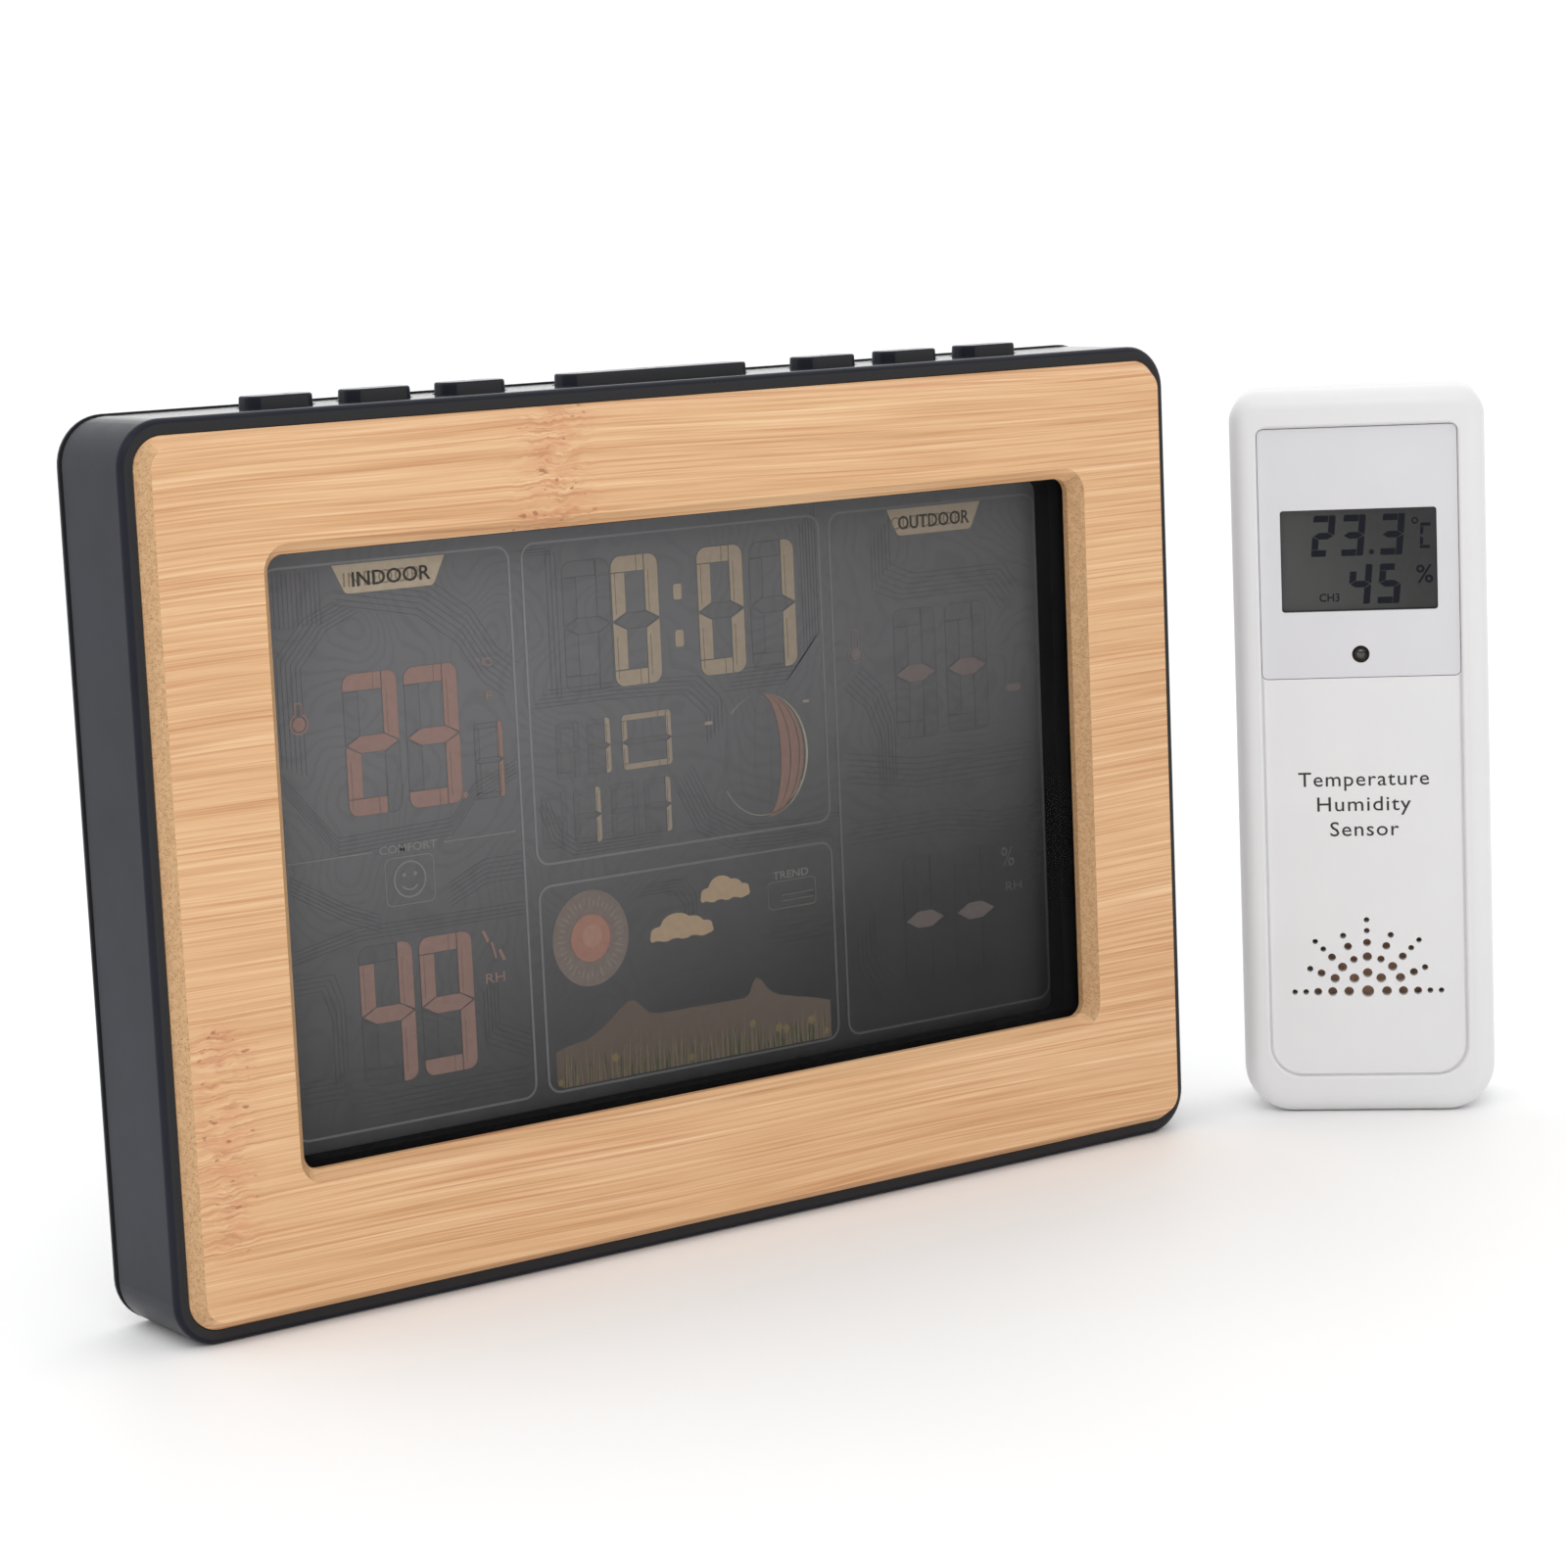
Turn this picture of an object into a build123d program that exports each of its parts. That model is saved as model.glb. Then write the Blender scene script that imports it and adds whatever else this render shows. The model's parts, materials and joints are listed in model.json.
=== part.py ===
from build123d import *
from math import cos, radians, sin
import os

os.makedirs("parts", exist_ok=True)

# Home weather station: a bamboo-fronted console and its outdoor sensor.
# Millimetres, +Z up. The console's front faces -Y and the origin is on its base, under its centre.

# ---------------------------------------------------------------- console: driving dimensions
body_width = 181.5
body_height = 126.5
body_corner = 6.6
body_front = -10.0          # y of the housing's front rim
body_depth = 18.7           # rim to main back panel
rim_round = 1.1
wall = 2.0
seam = 0.6                  # shadow gap between the housing and its back cover
cover_edge = 0.7            # the cover's edge behind the gap; inside the housing it is a full wall thick
cover_proud = 0.25          # how far that edge stands out at the top and the sides
lip_deep = 1.5              # the cover's locating lip
lip_wall = 1.2
fit = 0.1                   # clearance of a close fit
mid_z = body_height / 2

wood_width = 177.5
wood_height = 122.0
wood_corner = 4.4
wood_proud = 2.4            # how far the fascia stands in front of the rim
wood_sunk = 2.1             # how far it sits behind the rim
wood_bevel = 1.45           # outer bevel, across the face
wood_bevel_deep = 2.3       # and front to back
window_width = 140.0
window_height = 85.3
window_corner = 2.3
window_bevel = 1.65
window_bevel_deep = 2.2
window_z = mid_z + 1.15

lens_depth = 1.0            # the lens lies in a rebate in the fascia's back
lens_thick = 1.1
lens_width = 145.6
lens_height = 90.6
sight_width = 137.1         # the display opening behind the lens
sight_height = 84.3
sight_x = -0.35
sight_z = window_z + 0.2
plate_back = 5.6            # depth of the front housing's inner face
lcd_depth = 5.7             # depth of the display's front face
glass_thick = 1.2
lcd_width = 144.0
lcd_height = 92.0
lit_height = 83.0           # rear glass and light guide, between the contact ledges
holder_wall = 3.8
holder_screw_x = 79.8
holder_screw_z = 30.0
board_depth = 11.3
board_thick = 1.2
board_width = 158.0
board_height = 104.0
board_screw_x = board_width / 2 - 5.0
board_screw_z = lcd_height / 2 + 2.0

# buttons along the top face
button_size = 10.6
snooze_size = 32.4
button_deep = 5.8
button_corner = 2.4
button_rise = 1.65
button_travel = 0.7
button_depth = 9.4          # centre line of the row, behind the rim
button_pitch = 15.5
button_first = 31.0         # nearest small button's centre to the middle
button_gap = 0.25
button_draft = 3.0          # degrees
button_screw_x = 77.0
small_button_x = [button_first + button_pitch * i for i in range(3)]

# raised battery box on the back
box_half = 62.0
box_top = 54.0
box_depth = 27.7            # rim to the rear face of the battery box
cell_radius = 5.25
cell_length = 44.5
cell_pitch = 11.4
cell_first_z = 17.5
cell_depth = 20.1
bay_half = 25.5
bay_floor = 14.7            # depth of the battery bay's floor
bay_low = cell_first_z - cell_pitch / 2
bay_high = cell_first_z + 2.5 * cell_pitch
door_half = 28.4
door_low = 10.0
door_thick = 2.0

# fold-out stand: a flat U round the battery door
stand_inner = 33.0
stand_outer = 40.0
stand_thick = 3.1
stand_bar_low = 2.0
stand_bar_high = 7.0
stand_hinge_z = 48.5
stand_gap = 0.4
stand_pin_radius = 1.0

# fastenings and openings in the back
screw_x = 83.9
screw_z = 56.4
screw_sink = 1.3
keyhole_x = 60.0
keyhole_z = 98.0
keyhole_entry = 4.0
keyhole_slot = 2.1
keyhole_rise = 6.5
pocket_wall = 0.8
usb_x = 72.0
usb_z = 24.0
vent_x = -75.0

# ---------------------------------------------------------------- sensor: driving dimensions
sensor_width = 40.4
sensor_height = 118.0
sensor_depth = 20.0
sensor_top_corner = 4.8
sensor_low_corner = 8.0
sensor_wall = 1.6
sensor_round = 3.0
sensor_seam = -1.0          # local y of the joint between the half shells
sensor_turn = -43.7         # the sensor faces past the console's left end
sensor_x = 124.9
sensor_y = -17.5
panel_side = 4.3
panel_top = 5.8
panel_low = 6.2
panel_sunk = 0.6
panel_round = 0.5
plate_width = 31.6
plate_height = 40.2
plate_top_z = sensor_height - 6.06
sensor_lcd_width = 24.8
sensor_lcd_height = 16.4
sensor_lcd_z = plate_top_z - 13.1 - sensor_lcd_height / 2
led_z = plate_top_z - 36.5
vent_z = 20.2
sensor_cell_x = 5.5
sensor_cell_y = 2.9
sensor_bay_low = 12.0
sensor_bay_high = 61.0
control_z = 69.0
sensor_screw_x = 14.8
sensor_screw_z = 111.6
sensor_post_x = 14.4
sensor_post_z = (18.0, 104.6)
sensor_hook_z = 97.0
sensor_hook_entry = 3.5
sensor_hook_slot = 1.7
sensor_hook_rise = 5.5
switch_x = -5.0
channel_step = 1.6          # knob travel from one channel to the next
sensor_door_half = 14.0
sensor_door_top = 77.5
sensor_door_thick = 1.5


# ---------------------------------------------------------------- shared shape helpers
def depth_y(depth):
    """Row y of a depth measured back from the console's front rim."""
    return body_front + depth


def through(sketch, near, far):
    """A front-view sketch (x, z) made solid between two y planes."""
    return extrude(Plane.XZ.offset(-near) * sketch, amount=-(far - near))


def layer(width, height, corner, near, far, x=0.0, z=0.0):
    """A round-cornered slab facing the front, between two y planes."""
    outline = RectangleRounded(width, height, corner) if corner else Rectangle(width, height)
    return through(Pos(x, z) * outline, near, far)


def console_layer(width, height, corner, near_depth, far_depth, x=0.0, z=mid_z):
    """The same slab, with its faces given as depths behind the console's rim."""
    return layer(width, height, corner, depth_y(near_depth), depth_y(far_depth), x, z)


def block(x0, x1, y0, y1, z0, z1):
    """A plain box between opposite corners."""
    return Pos((x0 + x1) / 2, (y0 + y1) / 2, (z0 + z1) / 2) * Box(x1 - x0, y1 - y0, z1 - z0)


def rod_y(radius, x, z, near, far):
    """A round bar along Y."""
    return through(Pos(x, z) * Circle(radius), near, far)


def rod_x(radius, x0, x1, y, z):
    """A round bar along X."""
    return Pos((x0 + x1) / 2, y, z) * Rot(0, 90, 0) * Cylinder(radius, x1 - x0)


def rod_z(radius, x, y, z0, z1):
    """A round bar along Z."""
    return Pos(x, y, (z0 + z1) / 2) * Cylinder(radius, z1 - z0)


def front_edges(solid):
    """Outer edges of the face nearest the front."""
    return solid.faces().sort_by(Axis.Y)[0].outer_wire().edges()


def rear_edges(solid):
    """Outer edges of the face nearest the back."""
    return solid.faces().sort_by(Axis.Y)[-1].outer_wire().edges()


def dry_cell():
    """One AAA cell along X, its plain end at x = 0."""
    can = rod_x(cell_radius, 0, cell_length - 0.9, 0, 0)
    can = fillet(can.edges(), 0.5)
    return can + rod_x(1.9, cell_length - 1.2, cell_length, 0, 0)


def screw_y(x, z, head_near, head_radius, head_high, shank_radius, shank_long):
    """A pan-head screw driven towards the front (-Y), with a cross slot in its head."""
    head = rod_y(head_radius, x, z, head_near, head_near + head_high)
    head = fillet(rear_edges(head), head_high * 0.4)
    slot_far = head_near + head_high
    slot = head_radius * 1.1
    cross = layer(slot, head_radius * 0.25, 0, slot_far - head_high * 0.5, slot_far + 1, x, z)
    cross += layer(head_radius * 0.25, slot, 0, slot_far - head_high * 0.5, slot_far + 1, x, z)
    return head - cross + rod_y(shank_radius, x, z, head_near - shank_long, head_near)


def corner_points(x, z, centre_z):
    """The four points at +-x and +-z about a centre height."""
    return [(sx * x, centre_z + sz * z) for sx in (-1, 1) for sz in (-1, 1)]


def keyhole(entry_radius, slot_radius, rise):
    """Outline of a hanging hole: a round entry with a narrow slot above it."""
    slot = Pos(0, rise / 2) * Rectangle(2 * slot_radius, rise)
    return Circle(entry_radius) + slot + Pos(0, rise) * Circle(slot_radius)


def hook_pocket(x, z, entry_radius, slot_radius, rise, near, far, grow):
    """The closed box behind a hanging hole, widened by grow on its closed sides."""
    side = entry_radius + 0.8 + grow
    top = z + rise + slot_radius + 0.6 + grow
    return block(x - side, x + side, near - grow, far, z - entry_radius - 0.6 - grow, top)


# ---------------------------------------------------------------- console: button row levels
roof_z = body_height - wall
switch_board_z = 117.2
switch_board_thick = 1.0
plunger_top = 121.0
button_y = depth_y(button_depth)


def button_centres():
    return [-x for x in reversed(small_button_x)] + [0.0] + small_button_x


def button_widths():
    return [snooze_size if x == 0 else button_size for x in button_centres()]


# ---------------------------------------------------------------- console: front
def case_screw_points():
    """Four corners and the middle of each side."""
    return corner_points(screw_x, screw_z, mid_z) + [(-screw_x, mid_z), (screw_x, mid_z)]


def front_housing():
    """The deep case: rim and seat for the fascia, roof with the button holes, and screw bosses."""
    cover_depth = body_depth - cover_edge - seam
    shell = console_layer(body_width, body_height, body_corner, 0, cover_depth)
    shell = fillet(front_edges(shell), rim_round)
    room = 2 * wall
    shell -= console_layer(
        body_width - room, body_height - room, body_corner - wall, plate_back, cover_depth + 1,
    )
    shell -= console_layer(wood_width + 2 * fit, wood_height + 2 * fit, wood_corner, -1, wood_sunk + fit)
    shell -= console_layer(sight_width, sight_height, 2.0, 0, plate_back + 1, x=sight_x, z=sight_z)
    for x, width in zip(button_centres(), button_widths()):
        size = width + 2 * button_gap
        hole = RectangleRounded(size, button_deep + 2 * button_gap, button_corner + button_gap)
        shell -= extrude(Pos(x, button_y, roof_z - 1) * hole, amount=wall + 2)
    for x, z in case_screw_points():
        boss_end = body_depth - wall - fit
        boss = rod_y(3.0, x, z, depth_y(plate_back), depth_y(boss_end))
        shell += boss - rod_y(1.25, x, z, depth_y(7.0), depth_y(boss_end))
    for x in (-button_screw_x, button_screw_x):
        post = rod_z(2.6, x, button_y, switch_board_z + switch_board_thick, roof_z)
        shell += post - rod_z(0.9, x, button_y, 110, roof_z - 0.8)
    for x, z in corner_points(holder_screw_x, holder_screw_z, window_z):
        shell -= rod_y(0.85, x, z, depth_y(3.2), depth_y(plate_back))
    return shell


def wood_frame():
    board = console_layer(wood_width, wood_height, wood_corner, -wood_proud, wood_sunk)
    face = board.faces().sort_by(Axis.Y)[0]
    board = chamfer(face.outer_wire().edges(), wood_bevel, wood_bevel_deep, reference=face)
    board -= console_layer(window_width, window_height, window_corner, -5, 5, z=window_z)
    face = board.faces().sort_by(Axis.Y)[0]
    board = chamfer(face.inner_wires()[0].edges(), window_bevel, window_bevel_deep, reference=face)
    rebate = lens_width + 4 * fit
    return board - console_layer(rebate, lens_height + 4 * fit, 3.0, lens_depth - fit, 5, z=window_z)


def display_lens():
    return console_layer(lens_width, lens_height, 2.8, lens_depth, lens_depth + lens_thick, z=window_z)


def lcd_panel():
    front_glass = console_layer(lcd_width, lcd_height, 0, lcd_depth, lcd_depth + glass_thick, z=window_z)
    rear = lcd_depth + glass_thick
    return front_glass + console_layer(lcd_width, lit_height, 0, rear, rear + glass_thick, z=window_z)


def lcd_holder():
    outer_w = lcd_width + 2 * holder_wall
    outer_h = lcd_height + 2 * holder_wall
    ring = console_layer(outer_w, outer_h, 2.0, lcd_depth, board_depth - fit, z=window_z)
    ring -= console_layer(lcd_width + 0.4, lcd_height + 0.4, 0, 0, 20, z=window_z)
    ring -= console_layer(2.2, 80.0, 0, 8.2, 20, x=lcd_width / 2 + 1.1, z=window_z)
    for x, z in corner_points(holder_screw_x, holder_screw_z, window_z):
        ear_x = x - 2.0 if x > 0 else x + 2.0
        ring += console_layer(9.0, 8.0, 2.0, lcd_depth, 7.7, x=ear_x, z=z)
        ring -= rod_y(1.1, x, z, depth_y(0), depth_y(20))
    ring -= console_layer(lcd_width + 0.4, lcd_height + 0.4, 0, 0, 8.0, z=window_z)
    for x, z in corner_points(board_screw_x, board_screw_z, window_z):
        ring -= rod_y(0.7, x, z, depth_y(7.5), depth_y(20))
    return ring


def light_guide():
    near = lcd_depth + 2 * glass_thick + 0.1
    slab = console_layer(lcd_width, lit_height, 0, near, near + 2.2, z=window_z)
    for i in range(5):
        notch_z = window_z + (i - 2) * 15.0
        slab -= console_layer(0.9, 3.4, 0, near - 1, near + 4, x=lcd_width / 2, z=notch_z)
    return slab


def backlight_strip():
    x = lcd_width / 2
    near = lcd_depth + 2 * glass_thick + 0.2
    strip = block(x + 0.9, x + 1.6, depth_y(near), depth_y(near + 2.0), window_z - 38, window_z + 38)
    for i in range(5):
        z = window_z + (i - 2) * 15.0
        strip += block(x - 0.3, x + 0.9, depth_y(near + 0.1), depth_y(near + 1.9), z - 1.5, z + 1.5)
    return strip


def zebra_strips():
    near = lcd_depth + glass_thick + 0.05
    offset = (lit_height + lcd_height) / 4
    strips = [
        console_layer(116.0, 2.4, 0, near, board_depth - 0.05, z=window_z + side * offset)
        for side in (-1, 1)
    ]
    return Compound(strips)


def holder_screws():
    points = corner_points(holder_screw_x, holder_screw_z, window_z)
    return Compound([screw_y(x, z, depth_y(7.7), 1.9, 1.3, 0.8, 4.4) for x, z in points])


# ---------------------------------------------------------------- console: electronics
board_back = board_depth + board_thick


def main_board():
    board = console_layer(board_width, board_height, 1.5, board_depth, board_back, z=window_z)
    for x, z in corner_points(board_screw_x, board_screw_z, window_z):
        board -= rod_y(1.0, x, z, depth_y(0), depth_y(20))
    return board


def board_screws():
    points = corner_points(board_screw_x, board_screw_z, window_z)
    return Compound([screw_y(x, z, depth_y(board_back), 1.7, 1.1, 0.65, 4.6) for x, z in points])


def controller_chip():
    blob = rod_y(9.0, 0, 88.0, depth_y(board_back), depth_y(board_back + 1.8))
    return fillet(rear_edges(blob), 1.4)


def rf_module():
    near = board_back + 0.3
    card = console_layer(22.0, 14.0, 0.5, near, near + 1.0, x=25.0, z=97.0)
    can = console_layer(9.0, 9.0, 0.6, near + 1.0, near + 2.6, x=29.0, z=97.0)
    legs = [rod_y(0.35, 16.5 + 2.5 * i, 91.5, depth_y(board_back), depth_y(near)) for i in range(4)]
    return card + can + legs


def antenna_wire():
    y = depth_y(board_back + 2.0)
    path = FilletPolyline((14.6, y, 100.0), (8.0, y, 112.5), (-44.0, y, 112.5), radius=4.0)
    return sweep(Plane(origin=path @ 0, z_dir=path % 0) * Circle(0.45), path=path)


def buzzer():
    drum = rod_y(6.0, -45.0, 92.0, depth_y(board_back), depth_y(board_back + 3.2))
    drum = fillet(rear_edges(drum), 0.5)
    return drum - rod_y(1.0, -45.0, 92.0, depth_y(board_back + 2.0), depth_y(20))


def indoor_probe():
    card = console_layer(11.0, 9.0, 0.5, board_back, board_back + 0.8, x=-72.0, z=100.0)
    sensor = console_layer(3.0, 3.0, 0.4, board_back + 0.8, board_back + 2.0, x=-74.0, z=100.0)
    return card + sensor


def usb_inlet():
    far = body_depth - 1.5
    shell = console_layer(7.6, 2.9, 0.9, board_back, far, x=usb_x, z=usb_z)
    shell -= console_layer(6.9, 2.2, 0.7, board_back + 0.8, far + 1, x=usb_x, z=usb_z)
    return shell + console_layer(3.8, 0.6, 0, board_back + 0.8, far - 0.7, x=usb_x, z=usb_z)


# ---------------------------------------------------------------- console: buttons
def button(x, width):
    """A push button: cap through the roof, flange beneath it and a stem over its switch."""
    cap = extrude(
        Pos(x, button_y, roof_z - fit) * RectangleRounded(width, button_deep, button_corner),
        amount=wall + fit + button_rise, taper=button_draft,
    )
    cap = fillet(cap.faces().sort_by(Axis.Z)[-1].edges(), 0.35)
    flange_top = roof_z - fit
    flange = extrude(
        Pos(x, button_y, flange_top - 1.2) * RectangleRounded(width + 2.0, button_deep + 0.8, 3.0),
        amount=1.2,
    )
    stem_low = plunger_top + button_travel + 0.15
    return cap + flange + rod_z(1.3, x, button_y, stem_low, flange_top - 1.2)


def button_board():
    top = switch_board_z + switch_board_thick
    board = block(-81, 81, button_y - 3.0, button_y + 3.2, switch_board_z, top)
    for x in (-button_screw_x, button_screw_x):
        board -= rod_z(1.1, x, button_y, 110, 125)
    return board


def tact_switches():
    base = switch_board_z + switch_board_thick
    switches = []
    for x in button_centres():
        body = block(x - 2.3, x + 2.3, button_y - 2.3, button_y + 2.3, base, base + 2.0)
        switches.append(body + rod_z(1.2, x, button_y, base + 2.0, plunger_top))
    return Compound(switches)


def button_board_screws():
    screws = []
    for x in (-button_screw_x, button_screw_x):
        head = rod_z(1.9, x, button_y, switch_board_z - 1.2, switch_board_z)
        head = fillet(head.faces().sort_by(Axis.Z)[0].edges(), 0.4)
        screws.append(head + rod_z(0.85, x, button_y, switch_board_z, switch_board_z + 5.0))
    return Compound(screws)


def button_ribbon():
    y = depth_y(board_back)
    upright = block(-9, 9, y, y + 0.3, 108.0, switch_board_z)
    return upright + block(-9, 9, y - 1.6, y + 0.3, switch_board_z - 0.3, switch_board_z)


# ---------------------------------------------------------------- console: back
def stand_slot(grow):
    """The pocket that the folded stand lies in, widened all round by grow."""
    near = depth_y(box_depth - stand_thick - stand_gap) - grow
    far = depth_y(box_depth) + 5
    pocket = block(
        -stand_outer - stand_gap - grow, stand_outer + stand_gap + grow,
        near, far, -5, stand_bar_high + stand_gap + grow,
    )
    for side in (-1, 1):
        inner = side * (stand_inner - stand_gap - grow)
        outer = side * (stand_outer + stand_gap + grow)
        top = stand_hinge_z + stand_thick / 2 + stand_gap + grow
        pocket += block(min(inner, outer), max(inner, outer), near, far, -5, top)
    return pocket


def battery_box():
    """The raised box with its bay for three cells, the stand's pocket and the door's grooves."""
    inner = depth_y(body_depth - wall)
    box = block(-box_half, box_half, depth_y(body_depth - cover_edge), depth_y(box_depth), 0, box_top)
    upright = box.edges().filter_by(Axis.Z).group_by(Axis.Y)[-1]
    top_edge = box.faces().sort_by(Axis.Z)[-1].edges().filter_by(Axis.X).sort_by(Axis.Y)[-1:]
    box = fillet(upright + top_edge, 2.0)
    bay_wall = 1.3
    tub = block(
        -bay_half - bay_wall, bay_half + bay_wall, depth_y(bay_floor - bay_wall),
        depth_y(box_depth), bay_low - bay_wall, bay_high + bay_wall,
    )
    door_frame = block(
        -door_half - 2.9, door_half + 2.9, depth_y(box_depth - door_thick) - 1.5,
        depth_y(box_depth), door_low - 1.5, box_top,
    )
    room = block(
        -box_half + wall, box_half - wall, inner - lip_deep - 1,
        depth_y(box_depth) - wall, wall, box_top - wall,
    )
    room -= stand_slot(1.5) + tub + door_frame
    return box + tub, room


def back_cover():
    """The rear lid: flat panel with a locating lip, hanging holes, vents and the battery box."""
    inner_depth = body_depth - wall
    inner = depth_y(inner_depth)
    edge_depth = body_depth - cover_edge
    shell = console_layer(
        body_width + 2 * cover_proud, body_height + cover_proud, body_corner + cover_proud,
        edge_depth, body_depth, z=mid_z + cover_proud / 2,
    )
    shell = fillet(rear_edges(shell), 0.3)
    inset = wall + fit
    lip = console_layer(
        body_width - 2 * inset, body_height - 2 * inset, body_corner - inset,
        inner_depth - lip_deep, edge_depth,
    )
    inset += lip_wall
    lip -= console_layer(
        body_width - 2 * inset, body_height - 2 * inset, body_corner - inset, 0, inner_depth,
    )
    box, room = battery_box()
    shell += lip + box
    shell -= room
    shell -= stand_slot(0)
    shell -= block(-bay_half, bay_half, depth_y(bay_floor), depth_y(box_depth) + 1, bay_low, bay_high)
    shell -= door_shape(0.2, box_top + 5)
    shell -= contact_slots()
    for x, z in case_screw_points():
        shell -= rod_y(1.5, x, z, inner - 1, depth_y(20))
        shell -= rod_y(2.7, x, z, depth_y(body_depth - screw_sink), depth_y(20))
    outline = keyhole(keyhole_entry, keyhole_slot, keyhole_rise)
    pin_y = depth_y(box_depth - stand_thick / 2)
    for side in (-1, 1):
        hook = (side * keyhole_x, keyhole_z, keyhole_entry, keyhole_slot, keyhole_rise, inner - 2.7, inner)
        shell += hook_pocket(*hook, pocket_wall)
        shell -= hook_pocket(*hook, 0)
        shell -= through(Pos(side * keyhole_x, keyhole_z) * outline, inner - 1, depth_y(20))
        shell -= rod_x(stand_pin_radius + 0.01, *sorted((side * 31.3, side * 42.6)), pin_y, stand_hinge_z)
    for i in range(6):
        shell -= through(Pos(vent_x, 93.0 + 2.9 * i) * SlotOverall(13.0, 1.6), inner - 1, depth_y(20))
    for i in range(5):
        for j in range(3):
            shell -= rod_y(0.7, -49.0 + 2.6 * i, 70.0 + 2.6 * j, inner - 1, depth_y(20))
    return shell - console_layer(8.6, 3.9, 1.2, inner_depth - 1, 20, x=usb_x, z=usb_z)


def cover_screws():
    near = depth_y(body_depth - screw_sink)
    return Compound([screw_y(x, z, near, 2.4, 1.1, 1.2, 9.0) for x, z in case_screw_points()])


def door_shape(grow, top):
    """The battery door's plate with its two side tongues, widened by grow."""
    y0 = depth_y(box_depth - door_thick) - grow
    y1 = depth_y(box_depth) + (2 if grow else 0)
    plate = block(-door_half - grow, door_half + grow, y0, y1, door_low - grow, top)
    tongue = door_half + 1.2
    return plate + block(-tongue - grow, tongue + grow, y0, y0 + 0.9 + 2 * grow, door_low - grow, top)


def battery_door():
    door = door_shape(0, box_top)
    top_edge = door.faces().sort_by(Axis.Z)[-1].edges().filter_by(Axis.X).sort_by(Axis.Y)[-1]
    door = fillet(top_edge, 1.6)
    for i in range(4):
        door -= block(-9, 9, depth_y(box_depth) - 0.5, depth_y(box_depth) + 1, 39 + 2.4 * i, 40.2 + 2.4 * i)
    return door


def cell_heights():
    return [cell_first_z + cell_pitch * i for i in range(3)]


def console_batteries():
    cells = []
    for i, z in enumerate(cell_heights()):
        turn = 0 if i % 2 == 0 else 180
        start = -cell_length / 2 if turn == 0 else cell_length / 2
        cells.append(Pos(start, depth_y(cell_depth), z) * Rot(0, 0, turn) * dry_cell())
    return Compound(cells)


def contact_slots():
    """Slots in the bay floor for the contacts' solder tails."""
    slots = []
    for side in (-1, 1):
        x0, x1 = sorted((side * (bay_half - 1.1), side * bay_half))
        for z in cell_heights():
            slots.append(block(x0, x1, depth_y(bay_floor - 2.0), depth_y(bay_floor + 0.1), z - 1.4, z + 1.4))
    return slots


def battery_contacts():
    """Bent strip contacts: a flat plate at each plus end and a sprung V at each minus end."""
    pieces = []
    for i, z in enumerate(cell_heights()):
        plus = 1 if i % 2 == 0 else -1
        for side in (-1, 1):
            x_plate = side * (bay_half - 0.5)
            plate = block(
                x_plate - 0.2, x_plate + 0.2, depth_y(bay_floor), depth_y(cell_depth + 4.0), z - 3.6, z + 3.6,
            )
            plate += block(
                x_plate - 0.2, x_plate + 0.2, depth_y(board_back), depth_y(bay_floor), z - 1.1, z + 1.1,
            )
            if side != plus:
                reach = bay_half - 0.6 - cell_length / 2 - 0.1
                tip = (x_plate - side * reach, depth_y(cell_depth))
                low = (x_plate, depth_y(cell_depth - 3.6))
                high = (x_plate, depth_y(cell_depth + 3.6))
                leaf = trace(Polyline(low, tip, high), line_width=0.35)
                plate += extrude(Pos(0, 0, z - 2.5) * leaf, amount=5.0)
            pieces.append(plate)
    return Compound(pieces)


def fold_out_stand():
    y0 = depth_y(box_depth - stand_thick)
    y1 = depth_y(box_depth)
    bar = block(-stand_outer, stand_outer, y0, y1, stand_bar_low, stand_bar_high)
    bar = fillet(bar.edges().filter_by(Axis.Y), 2.0)
    stand = bar - block(-8, 8, y1 - 1.2, y1 + 1, stand_bar_low - 1, stand_bar_low + 2.2)
    for side in (-1, 1):
        x0, x1 = sorted((side * stand_inner, side * stand_outer))
        stand += block(x0, x1, y0, y1, stand_bar_low + 2.0, stand_hinge_z)
        stand += rod_x(stand_thick / 2, x0, x1, (y0 + y1) / 2, stand_hinge_z)
        stand -= rod_x(stand_pin_radius + 0.05, x0 - 1, x1 + 1, (y0 + y1) / 2, stand_hinge_z)
    return stand


def stand_pins():
    y = depth_y(box_depth - stand_thick / 2)
    spans = [(-42.5, -31.4), (31.4, 42.5)]
    return Compound([rod_x(stand_pin_radius, x0, x1, y, stand_hinge_z) for x0, x1 in spans])


# ---------------------------------------------------------------- sensor, in its own frame
# Local y = 0 is mid-depth and its front faces -Y; the finished pieces are turned and moved last.
sensor_front = -sensor_depth / 2
sensor_back = sensor_depth / 2
panel_y = sensor_front + panel_sunk
shell_inner_y = panel_y + sensor_wall
sensor_board_y = shell_inner_y + 1.3
sensor_board_back = sensor_board_y + 1.2


def tall_outline(inset, top_inset, low_inset, top_corner, low_corner):
    """The sensor's front outline, drawn in by the given amounts, with unequal corner radii."""
    half = sensor_width / 2 - inset
    low = low_inset
    high = sensor_height - top_inset
    outline = Pos(0, (low + high) / 2) * Rectangle(2 * half, high - low)
    corners = outline.vertices().group_by(Axis.Y)
    outline = fillet(corners[-1], top_corner)
    return fillet(outline.vertices().group_by(Axis.Y)[0], low_corner)


def sensor_outline(inset):
    return tall_outline(inset, inset, inset, sensor_top_corner - inset, sensor_low_corner - inset)


def panel_outline(inset):
    return tall_outline(panel_side + inset, panel_top + inset, panel_low + inset, 1.6 - inset, 5.2 - inset)


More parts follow.
